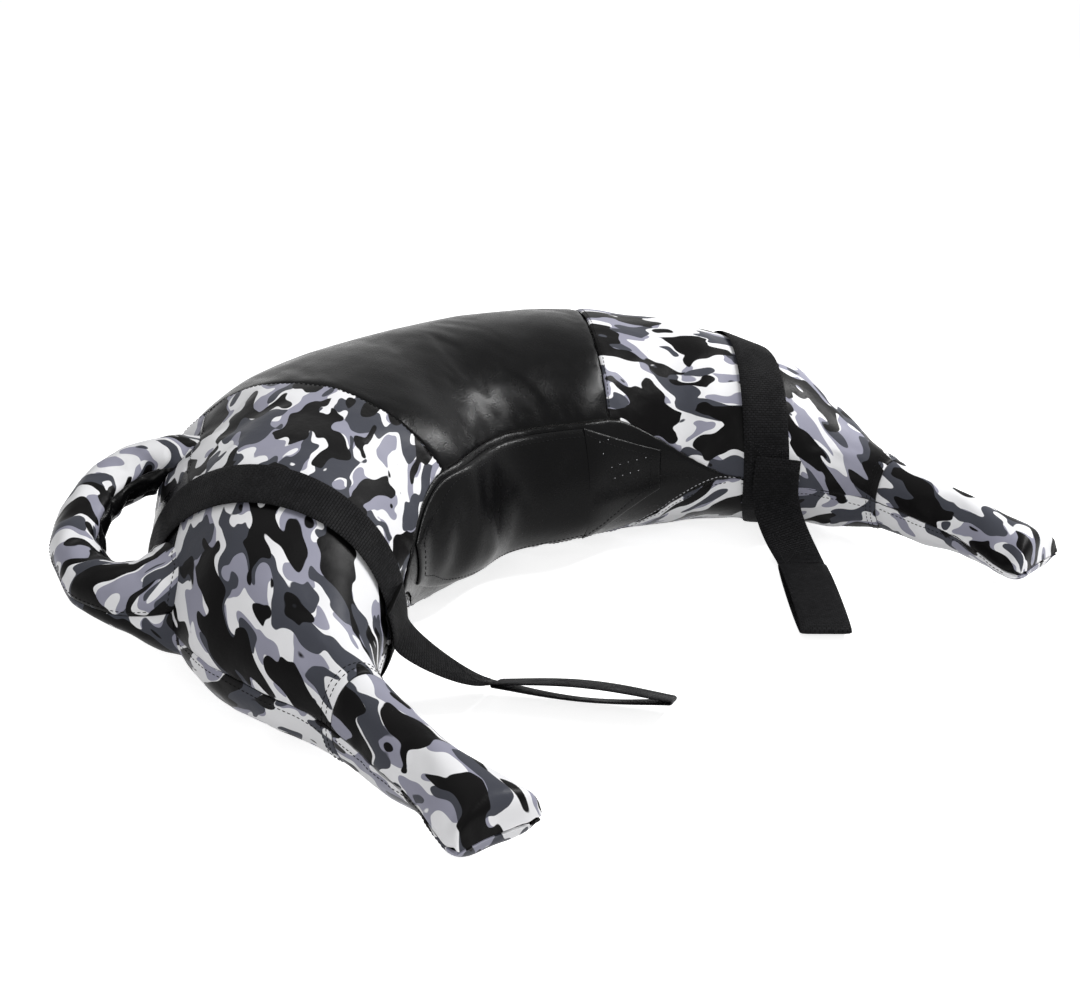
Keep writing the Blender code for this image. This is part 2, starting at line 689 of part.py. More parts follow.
def ribbon(name, path, widths, thickness, finish, pivot):
    """A strip of webbing with rounded ends, and with its own width direction at each point."""
    radius = thickness / 2
    ends = [math.radians(angle) for angle in (20, 50)]
    stops = [(0, -math.cos(turn) * radius, math.sin(turn)) for turn in ends]
    stops += [(i, 0.0, 1.0) for i in range(len(path))]
    stops += [(len(path) - 1, math.cos(turn) * radius, math.sin(turn)) for turn in reversed(ends)]
    rows = []
    for i, ahead, swell in stops:
        run = unit(path[min(i + 1, len(path) - 1)] - path[max(i - 1, 0)])
        place = path[i] + run * ahead
        side_step = widths[i] * WEBBING_WIDTH / 2
        lift_step = unit(np.cross(widths[i], run)) * radius * swell
        rows.append([place + side_step + lift_step, place - side_step + lift_step,
                     place - side_step - lift_step, place + side_step - lift_step])
    return solid_sleeve(name, rows, finish, pivot)


def build_tail(side_name, side, webbing):
    """The strap hangs from the band to the ground, and its sewn hand loop lies there."""
    top, foot, ahead, along, across = tail_frame(side)
    thickness = 2 * WEBBING_THICKNESS
    outer_half = HAND_LOOP_EYE / 2 + WEBBING_THICKNESS
    # The path leaves the band straight down and meets the ground level
    end = foot - ahead * (thickness + HINGE_GAP) / 2
    drop = top - np.array([0.0, 0.0, (top[2] - end[2]) * TAIL_DROP_SHARE])
    level_run = end - ahead * RIGHT_TAIL_RUN * TAIL_FLOOR_SHARE
    path, widths = [], []
    for share in np.linspace(0.0, 1.0, 8):
        rest = 1 - share
        path.append(rest ** 3 * top + 3 * rest ** 2 * share * drop
                    + 3 * rest * share ** 2 * level_run + share ** 3 * end)
        widths.append(unit(rest * along + share * across))
    ribbon(side_name + "_strap_tail", path, widths, thickness, webbing, top)

    # The hand loop is a flat ring of webbing: outline of its side, swept across its width
    length = HAND_LOOP_LENGTH
    square = np.cross(across, ahead)
    square = square * math.copysign(1.0, square[2])
    outline_outer, outline_inner = [], []
    for share in np.linspace(0.0, 1.0, 28, endpoint=False):
        turn = 2 * math.pi * share
        run = (1 - math.cos(turn)) / 2
        swell = math.copysign(abs(math.sin(turn)) ** 0.5, math.sin(turn)) if share else 0.0
        shrink = WEBBING_THICKNESS * (1 - 2 * run)
        outline_outer.append((run * length, swell * outer_half))
        outline_inner.append((run * length + shrink, swell * (outer_half - WEBBING_THICKNESS)))
    start = foot + ahead * HINGE_GAP / 2
    rows_outer, rows_inner = [], []
    for edge in (-1, 1):
        shift = across * edge * WEBBING_WIDTH / 2

        def place_of(point, shift=shift):
            run, rise = point
            return start + ahead * run + square * rise + shift
        rows_outer.append([place_of(point) for point in outline_outer])
        rows_inner.append([place_of(point) for point in outline_inner])
    shell(side_name + "_hand_loop", rows_outer, rows_inner, webbing, around=True, pivot=foot)

    # The block of stitching that holds the tail to the band, just above the hinge
    rise_angle = math.degrees(TACK_HEIGHT / (height(BAND_INNER_ARC) / 2))
    middle = side * (BAND_INNER_ARC + TAIL_SHIFT)
    half = band_half_arc(middle, 180.0)
    start_angle = 180.0 - math.degrees((HINGE_GAP + thickness / 2) / (height(BAND_INNER_ARC) / 2))
    out = STRAP_GAP + WEBBING_THICKNESS + LAYER_GAP + TACK_THICKNESS
    skin_sheet(side_name + "_tail_tack", arcs_between(middle - half, middle + half),
               lambda arc: start_angle - rise_angle, lambda arc: start_angle, 2, webbing,
               out=out, thickness=TACK_THICKNESS)


# Inside

def rings(arcs, columns, inset):
    angles = np.linspace(0.0, 360.0, columns, endpoint=False)
    return [[skin(arc, angle, -inset) for angle in angles] for arc in arcs]


def build_inside(canvas, sand, foam):
    """A canvas liner with a filler slit, three sacks of filling and a stuffed roll in each handle."""
    columns = 2 * BASE_COLUMNS
    arcs = arcs_between(-LINER_END_ARC, LINER_END_ARC)
    outer = rings(arcs, columns, LINER_INSET)
    inner_arcs = [-LINER_END_ARC + LINER_THICKNESS] + arcs[1:-1] + [LINER_END_ARC - LINER_THICKNESS]
    inner = rings(inner_arcs, columns, LINER_INSET + LINER_THICKNESS)
    step = 360.0 / columns
    slit = set()
    for i in range(len(arcs) - 1):
        middle = (arcs[i] + arcs[i + 1]) / 2
        if FILLER_SLIT_LEFT < middle < FILLER_SLIT_RIGHT:
            slit.add((i, int(FILLER_SLIT_TOP_ANGLE // step)))
    shell("liner", outer, inner, canvas, around=True, skip=slit, capped=True)

    sack_end = LINER_END_ARC - LINER_THICKNESS - FILLING_GAP
    sack_split = CENTRE_SEAM_ARC
    spans = {"centre_sand_sack": (-sack_split + FILLING_GAP / 2, sack_split - FILLING_GAP / 2),
             "left_sand_sack": (-sack_end, -sack_split - FILLING_GAP / 2),
             "right_sand_sack": (sack_split + FILLING_GAP / 2, sack_end)}
    for name, span in spans.items():
        solid_sleeve(name, rings(arcs_between(*span), 18, FILLING_INSET), sand)
    for side_name, side in (("left", -1), ("right", 1)):
        span = sorted((side * (LINER_END_ARC + FILLING_GAP), side * (TIP_ARC - GRIP_CORE_TIP_GAP)))
        core = rings(arcs_between(*span), 2 * HANDLE_COLUMNS, GRIP_CORE_INSET)
        solid_sleeve(side_name + "_grip_core", core, foam)


def build():
    clear_scene()
    camo = material("camouflage_skin", CAMO_WHITE, 0.45)
    leather = material("black_leather", LEATHER_BLACK, 0.42)
    webbing = material("black_webbing", WEBBING_BLACK, 0.85)
    tape = material("hook_and_loop_tape", TAPE_BLACK, 0.95)
    canvas = material("liner_canvas", CANVAS_GREY, 0.9)
    sand = material("sand_sack", SACK_SAND, 0.9)
    foam = material("stuffing", FOAM_GREY, 0.95)
    build_skin(camo, leather)
    build_closure(leather, tape)
    for side_name, side in (("left", -1), ("right", 1)):
        build_loop_handle(side_name, side, camo, leather, foam)
        build_band(side_name + "_strap_band", side, webbing)
        build_tail(side_name, side, webbing)
    build_inside(canvas, sand, foam)


build()
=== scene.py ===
# %% [markdown]
# Bulgarian bag, dressed for its photograph
#
# The real bag is a crescent sewn from camouflage and black synthetic leather and packed with sand. The
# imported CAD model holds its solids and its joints, and stays as it is. This script lays a finer skin,
# straps and stitches over that frame, lights them softly and sets the camera where the photograph was
# taken.

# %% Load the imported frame
import json
import math
from contextlib import contextmanager

import bmesh
import bpy
import numpy as np
from mathutils import Matrix, Vector
from mathutils.bvhtree import BVHTree


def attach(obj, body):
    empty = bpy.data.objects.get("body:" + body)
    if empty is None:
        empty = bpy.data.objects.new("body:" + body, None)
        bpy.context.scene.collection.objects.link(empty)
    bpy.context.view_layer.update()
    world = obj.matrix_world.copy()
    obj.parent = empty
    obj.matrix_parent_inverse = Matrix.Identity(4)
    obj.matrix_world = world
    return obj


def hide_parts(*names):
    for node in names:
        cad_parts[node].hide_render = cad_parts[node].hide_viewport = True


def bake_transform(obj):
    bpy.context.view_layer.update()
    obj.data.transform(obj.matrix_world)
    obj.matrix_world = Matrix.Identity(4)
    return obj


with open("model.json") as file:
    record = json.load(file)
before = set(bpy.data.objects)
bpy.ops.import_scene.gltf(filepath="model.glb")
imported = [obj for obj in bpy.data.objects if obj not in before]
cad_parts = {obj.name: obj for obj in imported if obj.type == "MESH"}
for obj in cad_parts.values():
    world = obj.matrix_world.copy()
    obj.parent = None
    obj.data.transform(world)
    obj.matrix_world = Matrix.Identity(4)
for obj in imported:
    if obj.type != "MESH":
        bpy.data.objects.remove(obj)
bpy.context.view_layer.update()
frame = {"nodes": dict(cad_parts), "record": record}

# %% [markdown]
# The camera and the light
#
# The camera was found by fitting the crescent to the outline in the photograph: it looks down at about
# 21 degrees from the left of the open side. A long, narrow soft lamp high on the right puts the satin
# band on the black leather, and two broad, weak ones fill the rest. The floor and the world are paper
# white only where the camera or a reflection sees them, so that they don't light up the bag.

# %% Object helper
def placed(name, data):
    """A new object in the scene that carries this mesh, lamp or camera."""
    thing = bpy.data.objects.new(name, data)
    bpy.context.scene.collection.objects.link(thing)
    return thing

# %% Camera
CAMERA_PLACE = (-0.857164, -0.912017, 0.579535)
CAMERA_RIGHT = (0.732999, -0.680213, 0.004781)
CAMERA_UP = (0.238552, 0.263634, 0.934660)
SENSOR_WIDTH, LENS_LENGTH = 36.0, 55.70
LENS_SHIFT_X, LENS_SHIFT_Y = 0.00458, -0.01589
NEAREST_SEEN = 0.01

camera_data = bpy.data.cameras.new("photo_camera")
camera_data.sensor_width, camera_data.lens = SENSOR_WIDTH, LENS_LENGTH
camera_data.shift_x, camera_data.shift_y = LENS_SHIFT_X, LENS_SHIFT_Y
camera_data.clip_start = NEAREST_SEEN
camera = placed("photo_camera", camera_data)
bpy.context.scene.camera = camera
camera_back = Vector(CAMERA_RIGHT).cross(Vector(CAMERA_UP))
turned = Matrix((CAMERA_RIGHT, CAMERA_UP, camera_back)).transposed()
camera.matrix_world = Matrix.Translation(CAMERA_PLACE) @ turned.to_4x4()
print("camera looks down at %.1f degrees" % math.degrees(math.asin(camera_back.z)))

# %% Node helper
def wire(tree, kind, sockets=(), **settings):
    """One node: its settings, and each of its sockets given a value or another node's output."""
    made = tree.nodes.new(kind)
    for name, value in settings.items():
        setattr(made, name, value)
    for name, value in dict(sockets).items():
        if isinstance(value, bpy.types.NodeSocket):
            tree.links.new(value, made.inputs[name])
        else:
            made.inputs[name].default_value = value
    return made

# %% Soft lamps
BAG_MIDDLE = (0.0, 0.0, 0.08)
# Name, place, long and short side, watts, the way its long side lies
LAMPS = (
    ("key_light", (1.23, -0.66, 1.46), (1.50, 0.16), 42.0, (0.78, 0.47, -0.41)),
    ("top_light", (-0.25, 0.25, 1.9), (1.8, 1.4), 6.0, (1.0, 0.0, 0.0)),
    ("front_fill", (-1.5, -1.2, 0.9), (1.4, 1.2), 13.0, (1.0, 0.0, 0.0)),
)


def soft_lamp(name, place, size, watts, lengthways):
    """A rectangular lamp that faces the bag."""
    lamp = bpy.data.lights.new(name, "AREA")
    lamp.shape = "RECTANGLE"
    lamp.size, lamp.size_y = size
    lamp.energy = watts
    holder = placed(name, lamp)
    holder.location = place
    back = (Vector(place) - Vector(BAG_MIDDLE)).normalized()
    long_side = (Vector(lengthways) - back * back.dot(Vector(lengthways))).normalized()
    holder.rotation_euler = Matrix((long_side, back.cross(long_side), back)).transposed().to_euler()


for lamp_facts in LAMPS:
    soft_lamp(*lamp_facts)
print("studio:", len(LAMPS), "soft lamps")

# %% Floor and background
WHITE = (1.0, 1.0, 1.0, 1.0)
SKY_FILL, FLOOR_SHADE, FLOOR_GLOW = 0.26, (0.80, 0.80, 0.80, 1.0), 0.80
FLOOR_REACH, FLOOR_DROP = 6.0, 0.0006


def seen_directly(tree):
    """1 for a ray from the camera, off a gloss or through a clear thing, and 0 for a ray of light."""
    rays = tree.nodes.new("ShaderNodeLightPath")
    seen = rays.outputs["Is Camera Ray"]
    for kind in ("Is Glossy Ray", "Is Transmission Ray"):
        seen = wire(tree, "ShaderNodeMath", {0: seen, 1: rays.outputs[kind]},
                    operation="MAXIMUM").outputs["Value"]
    return seen


world = bpy.data.worlds.new("studio")
bpy.context.scene.world = world
world.use_nodes = True
sky = world.node_tree
sky.nodes.clear()
fill_light = wire(sky, "ShaderNodeBackground", {"Color": WHITE, "Strength": SKY_FILL})
white_page = wire(sky, "ShaderNodeBackground", {"Color": WHITE, "Strength": 1.0})
either = wire(sky, "ShaderNodeMixShader", {0: seen_directly(sky), 1: fill_light.outputs[0],
                                           2: white_page.outputs[0]})
wire(sky, "ShaderNodeOutputWorld", {"Surface": either.outputs[0]})

floor_mesh = bpy.data.meshes.new("floor")
floor_mesh.from_pydata([(x * FLOOR_REACH, y * FLOOR_REACH, 0.0)
                        for x, y in ((-1, -1), (1, -1), (1, 1), (-1, 1))], [], [(0, 1, 2, 3)])
floor = placed("floor", floor_mesh)
floor.location.z = -FLOOR_DROP
floor_finish = bpy.data.materials.new("pale_floor")
floor_finish.use_nodes = True
ground = floor_finish.node_tree
ground.nodes.clear()
matt = wire(ground, "ShaderNodeBsdfDiffuse", {"Color": FLOOR_SHADE})
glow = wire(ground, "ShaderNodeEmission", {"Color": WHITE, "Strength": FLOOR_GLOW})
glow_seen = wire(ground, "ShaderNodeMixShader", {0: seen_directly(ground), 2: glow.outputs[0]})
both = wire(ground, "ShaderNodeAddShader", {0: matt.outputs[0], 1: glow_seen.outputs[0]})
wire(ground, "ShaderNodeOutputMaterial", {"Surface": both.outputs[0]})
floor_mesh.materials.append(floor_finish)
bpy.context.scene.view_settings.view_transform = "Standard"
print("floor:", 2 * FLOOR_REACH, "m square")

# %% [markdown]
# Finishes
#
# The skin is a synthetic leather with a fine grain, printed with a snow camouflage: white, grey violet,
# slate and black blots with rounded, finger-like edges. Each colour is a noise cut at one level and laid
# over the ones before it, on coordinates that a second noise has bent, which is what draws the fingers.
# The print reads the panel's own flat map in metres, so it runs along the arm as printed sheet does, and
# every panel is cut from another part of it. The grain and the soft gloss are bump and roughness.

# %% Finish helper
def blank_finish(name, colour, roughness):
    finish = bpy.data.materials.new(name)
    finish.use_nodes = True
    shader = finish.node_tree.nodes["Principled BSDF"]
    shader.inputs["Base Color"].default_value = (*colour, 1.0)
    shader.inputs["Roughness"].default_value = roughness
    return finish, finish.node_tree, shader


def object_place(tree):
    return tree.nodes.new("ShaderNodeTexCoord").outputs["Object"]


def flat_place(tree):
    return wire(tree, "ShaderNodeUVMap", uv_map="flat").outputs["UV"]


def patchy(tree, place, scale, low, high, detail=2.0):
    """A soft unevenness between two values."""
    noise = wire(tree, "ShaderNodeTexNoise", {"Vector": place, "Scale": scale, "Detail": detail})
    spread = wire(tree, "ShaderNodeMapRange", {"Value": noise.outputs["Fac"], "From Min": 0.3,
                                               "From Max": 0.7, "To Min": low, "To Max": high})
    return spread.outputs["Result"]


def raised(tree, shader, height, distance, strength=1.0, under=None):
    bump = wire(tree, "ShaderNodeBump", {"Height": height, "Distance": distance, "Strength": strength})
    if under is not None:
        tree.links.new(under.outputs["Normal"], bump.inputs["Normal"])
    tree.links.new(bump.outputs["Normal"], shader.inputs["Normal"])
    return bump

# %% Camouflage skin
PRINT_STRETCH = 1.8
FINGER_SCALE, FINGER_REACH = 74.0, 0.027
BLOT_SOFTNESS = 0.004
UNPRINTED = (0.76, 0.76, 0.775)
# Colour, place in the noise, scale of the blots per metre, level where they begin
INKS = (
    ((0.275, 0.275, 0.340), (3.1, 1.7, 0.0), 46.0, 0.541),
    ((0.052, 0.055, 0.068), (8.4, 5.2, 4.0), 44.0, 0.556),
    ((0.0025, 0.0023, 0.0025), (1.9, 9.6, 8.0), 40.0, 0.552),
)


def camouflage_finish():
    finish, tree, shader = blank_finish("camouflage_skin", UNPRINTED, 0.40)
    drawn = wire(tree, "ShaderNodeMapping", {"Vector": flat_place(tree),
                                             "Scale": (1.0 / PRINT_STRETCH, 1.0, 1.0)})
    wander = wire(tree, "ShaderNodeTexNoise", {"Vector": drawn.outputs[0], "Scale": FINGER_SCALE,
                                               "Detail": 0.0})
    centred = wire(tree, "ShaderNodeVectorMath", {0: wander.outputs["Color"], 1: (0.5, 0.5, 0.5)},
                   operation="SUBTRACT")
    push = wire(tree, "ShaderNodeVectorMath", {0: centred.outputs[0], "Scale": FINGER_REACH},
                operation="SCALE")
    bent = wire(tree, "ShaderNodeVectorMath", {0: drawn.outputs[0], 1: push.outputs[0]},
                operation="ADD")
    colour = (*UNPRINTED, 1.0)
    for ink, corner, scale, level in INKS:
        away = wire(tree, "ShaderNodeVectorMath", {0: bent.outputs[0], 1: corner}, operation="ADD")
        blots = wire(tree, "ShaderNodeTexNoise", {"Vector": away.outputs[0], "Scale": scale,
                                                  "Detail": 0.0})
        inked = wire(tree, "ShaderNodeMapRange", {"Value": blots.outputs["Fac"],
                                                  "From Min": level - BLOT_SOFTNESS,
                                                  "From Max": level + BLOT_SOFTNESS})
        layer = wire(tree, "ShaderNodeMix", {0: inked.outputs["Result"], 6: colour, 7: (*ink, 1.0)},
                     data_type="RGBA")
        colour = layer.outputs[2]
    tree.links.new(colour, shader.inputs["Base Color"])
    place = object_place(tree)
    tree.links.new(patchy(tree, place, 24.0, 0.30, 0.42), shader.inputs["Roughness"])
    shader.inputs["Specular IOR Level"].default_value = 0.06
    rolling = raised(tree, shader, patchy(tree, place, 60.0, 0.0, 1.0, 3.0), 0.0007, 0.35)
    raised(tree, shader, patchy(tree, place, 1300.0, 0.0, 1.0), 0.00006, 0.5, rolling)
    return finish


camouflage = camouflage_finish()
print("camouflage:", len(INKS), "inks on white")

# %% Black leather
def leather_finish():
    finish, tree, shader = blank_finish("black_leather", (0.0020, 0.0020, 0.0022), 0.42)
    place = object_place(tree)
    cells = wire(tree, "ShaderNodeTexVoronoi", {"Vector": place, "Scale": 780.0, "Randomness": 1.0})
    tree.links.new(patchy(tree, place, 90.0, 0.22, 0.30), shader.inputs["Roughness"])
    shader.inputs["Specular IOR Level"].default_value = 0.09
    rolling = raised(tree, shader, patchy(tree, place, 60.0, 0.0, 1.0, 2.0), 0.0003, 0.3)
    raised(tree, shader, cells.outputs["Distance"], 0.00016, 0.55, rolling)
    return finish


leather = leather_finish()

# %% [markdown]
# Webbing, tape, thread and what lies inside
#
# Webbing is woven in short ribs across its width, so a brick pattern on the strap's own flat map, in
# metres, raises it, and its darker mortar colour is painted shade in the grooves between the ribs. The
# hook-and-loop tape is a dense fuzz, the liner and the sacks are a plain woven canvas, darker with painted
# shade where its threads sink, and the stuffing is loose and matt.

# %% Woven finishes
RIB_LENGTH = 0.0036
RIB_HEIGHT = 0.0021


def webbing_finish():
    finish, tree, shader = blank_finish("black_webbing", (0.004, 0.004, 0.0045), 0.62)
    turned_map = wire(tree, "ShaderNodeMapping", {"Vector": flat_place(tree),
                                                  "Rotation": (0.0, 0.0, math.pi / 2)})
    # The mortar colour is painted shade in the grooves between the ribs; the two rib colours are the
    # webbing's own uneven black.
    ribs_and_groove_shade = wire(tree, "ShaderNodeTexBrick", {"Vector": turned_map.outputs[0], "Scale": 1.0,
                                             "Brick Width": RIB_LENGTH, "Row Height": RIB_HEIGHT,
                                             "Mortar Size": RIB_HEIGHT * 0.22, "Mortar Smooth": 1.0,
                                             "Color1": (0.009, 0.009, 0.010, 1.0),
                                             "Color2": (0.0035, 0.0035, 0.004, 1.0),
                                             "Mortar": (0.0008, 0.0008, 0.0008, 1.0)})
    tree.links.new(ribs_and_groove_shade.outputs["Color"], shader.inputs["Base Color"])
    sunk = wire(tree, "ShaderNodeMath", {0: 1.0, 1: ribs_and_groove_shade.outputs["Fac"]}, operation="SUBTRACT")
    tree.links.new(patchy(tree, object_place(tree), 45.0, 0.55, 0.75), shader.inputs["Roughness"])
    shader.inputs["Specular IOR Level"].default_value = 0.07
    raised(tree, shader, sunk.outputs["Value"], 0.0007, 1.0)
    return finish


def fuzzy_finish(name, colour, scale, depth, roughness):
    finish, tree, shader = blank_finish(name, colour, roughness)
    place = object_place(tree)
    fibres = wire(tree, "ShaderNodeTexNoise", {"Vector": place, "Scale": scale, "Detail": 4.0})
    shade = wire(tree, "ShaderNodeMix", {0: fibres.outputs["Fac"],
                                         6: (*[c * 0.55 for c in colour], 1.0),
                                         7: (*[min(c * 1.45, 1.0) for c in colour], 1.0)},
                 data_type="RGBA")
    tree.links.new(shade.outputs[2], shader.inputs["Base Color"])
    shader.inputs["Specular IOR Level"].default_value = 0.08
    raised(tree, shader, fibres.outputs["Fac"], depth, 0.8)
    return finish


def canvas_finish(name, colour, threads):
    """Plain weave: two sets of threads, each a wave along one direction of the cloth."""
    finish, tree, shader = blank_finish(name, colour, 0.88)
    place = object_place(tree)
    sets = []
    for direction in ("X", "Y"):
        sets.append(wire(tree, "ShaderNodeTexWave", {"Vector": place, "Scale": threads,
                                                     "Distortion": 0.6, "Detail": 1.0},
                         bands_direction=direction).outputs["Fac"])
    weave = wire(tree, "ShaderNodeMath", {0: sets[0], 1: sets[1]}, operation="MULTIPLY")
    # Darker where the threads sink between each other: painted shade in the weave's hollows.
    shade = wire(tree, "ShaderNodeMix", {0: weave.outputs["Value"],
                                         6: (*[c * 0.7 for c in colour], 1.0), 7: (*colour, 1.0)},
                 data_type="RGBA")
    tree.links.new(shade.outputs[2], shader.inputs["Base Color"])
    raised(tree, shader, weave.outputs["Value"], 0.0003, 0.7)
    return finish


webbing = webbing_finish()
hook_tape = fuzzy_finish("hook_and_loop_tape", (0.016, 0.016, 0.018), 900.0, 0.0008, 0.95)
stuffing = fuzzy_finish("stuffing", (0.20, 0.20, 0.21), 400.0, 0.0010, 0.95)
dark_thread = fuzzy_finish("dark_thread", (0.006, 0.006, 0.0065), 2500.0, 0.0002, 0.55)
block_thread = fuzzy_finish("block_thread", (0.013, 0.013, 0.014), 2500.0, 0.0002, 0.5)
light_thread = fuzzy_finish("light_thread", (0.42, 0.42, 0.44), 2500.0, 0.0002, 0.55)
liner_canvas = canvas_finish("liner_canvas", (0.30, 0.30, 0.29), 130.0)
sack_cloth = canvas_finish("sand_sack", (0.42, 0.33, 0.22), 110.0)
print("finishes:", len(bpy.data.materials))

# %% [markdown]
# The shape of the bag
#
# A place on the skin is an arc, the distance from the crown along the spine, and an angle round the
# section: 0 at the outer seam, 90 on top, 180 at the neck side and 270 underneath. The sizes are those of
# the CAD solids, which run straight from station to station. Here the same curves are read at every
# point, so the skin is smooth.

# %% Sizes of the spine and the sections
SIDES = (("left", -1), ("right", 1))
ARM_LENGTH, HANDLE_LENGTH = 0.446, 0.140
CROWN_RADIUS, WRIST_RADIUS = 0.270, 0.322
TIP_ROUND = 0.013
TIP_ARC = ARM_LENGTH + HANDLE_LENGTH
ROUND_ARC = TIP_ARC - TIP_ROUND
BEND_ARC = TIP_ARC - TIP_ROUND / 4
TIP_SQUARE_SHARE = 0.7
OUTER_FLAT_SHARE, NECK_FLAT_SHARE = 0.32, 0.20
BASE_ROUND_SHARE = 0.6
TIP_HEIGHT, TIP_SEAM, TIP_LIFT, TIP_SEAM_ROOM = 0.038, 0.011, 0.0145, 0.0008


def smooth_curve(knots, values):
    """Monotone cubic through the knots, for one place or for an array of them."""
    x = np.array(knots, float)
    y = np.array(values, float)
    rise = np.diff(y) / np.diff(x)
    slope = np.zeros(len(x))
    product = rise[:-1] * rise[1:]
    total = np.where(product > 0, rise[:-1] + rise[1:], 1)
    slope[1:-1] = np.where(product > 0, 2 * product / total, 0)

    def read(at):
        at = np.clip(at, x[0], x[-1])
        i = np.clip(np.searchsorted(x, at, side="right") - 1, 0, len(x) - 2)
        step = x[i + 1] - x[i]
        t = (at - x[i]) / step
        return ((1 + 2 * t) * (1 - t) ** 2 * y[i] + t * (1 - t) ** 2 * step * slope[i]
                + t * t * (3 - 2 * t) * y[i + 1] + t * t * (t - 1) * step * slope[i + 1])

    return read


arm_knots = [share * ARM_LENGTH for share in (0.0, 0.25, 0.5, 0.75, 1.0)]
grip_knot = ARM_LENGTH + HANDLE_LENGTH / 2
half_width = smooth_curve(arm_knots + [grip_knot, ROUND_ARC, TIP_ARC],
                          [0.125, 0.135, 0.105, 0.077, 0.0245, 0.0225, 0.0315, 0.0315])
section_height = smooth_curve(
    arm_knots + [grip_knot, ROUND_ARC, BEND_ARC, TIP_ARC],
    [0.190, 0.1895, 0.176, 0.136, 0.063, 0.046, TIP_HEIGHT, TIP_HEIGHT * 3 / 4,
     TIP_SEAM_ROOM * 3 / 2])
seam_height = smooth_curve(
    [0.0, arm_knots[2], ARM_LENGTH, ROUND_ARC, BEND_ARC, TIP_ARC],
    [0.055, 0.068, 0.031, TIP_SEAM, TIP_SEAM * 3 / 4, TIP_SEAM_ROOM / 2])
lift = smooth_curve(
    [0.0, 0.190, arm_knots[3], ARM_LENGTH, ROUND_ARC, BEND_ARC, TIP_ARC],
    [0.0, 0.0, 0.0115, 0.0145, TIP_LIFT, TIP_LIFT + TIP_SEAM / 4,
     TIP_LIFT + TIP_SEAM - TIP_SEAM_ROOM / 2])
print("half width at the crown %.0f mm, at the grip %.1f mm" % (
    half_width(0.0) * 1000, half_width(grip_knot) * 1000))

# %% Spine and skin
SPINE_STEPS = 1200
LEFT_LEAN, RIGHT_LEAN, LEAN_ARC = -0.0035, 0.008, 0.36
RIGHT_RISE, RISE_ARC, RISE_EASE, RISE_FADE = 0.004, 0.40, 0.05, 0.09
spine_arcs = np.linspace(0.0, TIP_ARC, SPINE_STEPS + 1)


def heading(arc):
    """Turn of the spine from the crown, in radians: its curvature eases from crown to wrist."""
    bent = np.minimum(arc, ARM_LENGTH)
    easing = (1 / WRIST_RADIUS - 1 / CROWN_RADIUS) * bent * bent / (2 * ARM_LENGTH)
    return bent / CROWN_RADIUS + easing


def running_sum(values):
    steps = (values[1:] + values[:-1]) / 2
    return np.concatenate([[0.0], np.cumsum(steps) * TIP_ARC / SPINE_STEPS])


spine_x = running_sum(np.cos(heading(spine_arcs)))
spine_drop = running_sum(np.sin(heading(spine_arcs)))
front_reach = spine_drop[-1] + float(half_width(TIP_ARC)) * abs(math.cos(heading(TIP_ARC)))
SPINE_Y = (front_reach - float(half_width(0.0))) / 2


def smooth_step(value):
    value = np.clip(value, 0.0, 1.0)
    return value * value * (3 - 2 * value)


def unit(vectors):
    """Vectors of length one, for one vector or for an array of them."""
    return vectors / np.linalg.norm(vectors, axis=-1, keepdims=True)


def spine_frame(arc):
    """Points of the spine, their outward directions and the directions towards the nearer tip.

    The soft handles lie a little to one side: the left one towards the neck, the right one away.
    """
    arc = np.asarray(arc, float)
    reach = np.abs(arc)
    side = np.where(arc < 0, -1.0, 1.0)
    turn = heading(reach)
    x = side * np.interp(reach, spine_arcs, spine_x)
    y = SPINE_Y - np.interp(reach, spine_arcs, spine_drop)
    none = np.zeros_like(x)
    centre = np.stack([x, y, none], -1)
    outward = np.stack([side * np.sin(turn), np.cos(turn), none], -1)
    along = np.stack([side * np.cos(turn), -np.sin(turn), none], -1)
    lean = np.where(side < 0, LEFT_LEAN, RIGHT_LEAN)
    lean = lean * smooth_step((reach - LEAN_ARC) / (TIP_ARC - LEAN_ARC))
    return centre + outward * lean[..., None], outward, along


def tip_share(arc):
    return np.maximum(0.0, (np.abs(arc) - ROUND_ARC) / TIP_ROUND)


def section_point(arc, angle):
    """Distance from the spine and height, at an angle round the section."""
    reach = np.abs(arc)
    turn = np.radians(angle)
    wide, seam, base = half_width(reach), seam_height(reach), lift(reach)
    up = np.maximum(np.sin(turn), 0.0)
    squareness = 1 - TIP_SQUARE_SHARE * tip_share(arc)
    rounded = np.where(up > 0, np.maximum(up, 1e-9) ** squareness, 0.0)
    rise = (section_height(reach) - seam) * rounded
    side = np.where(np.cos(turn) < 0, -1.0, 1.0)
    flat = wide * np.where(side < 0, NECK_FLAT_SHARE, OUTER_FLAT_SHARE)
    down = np.arcsin(np.clip(-np.sin(turn), 0.0, 1.0)) / (math.pi / 2)
    bend = math.pi / 2 * np.minimum(down / BASE_ROUND_SHARE, 1.0)
    below = np.where(down < BASE_ROUND_SHARE, flat + (wide - flat) * np.cos(bend),
                     flat * (1 - down) / (1 - BASE_ROUND_SHARE))
    above_seam = np.sin(turn) >= 0
    across = np.where(above_seam, wide * np.cos(turn), side * below)
    height = np.where(above_seam, base + seam + rise, base + seam * (1 - np.sin(bend)))
    return across, height


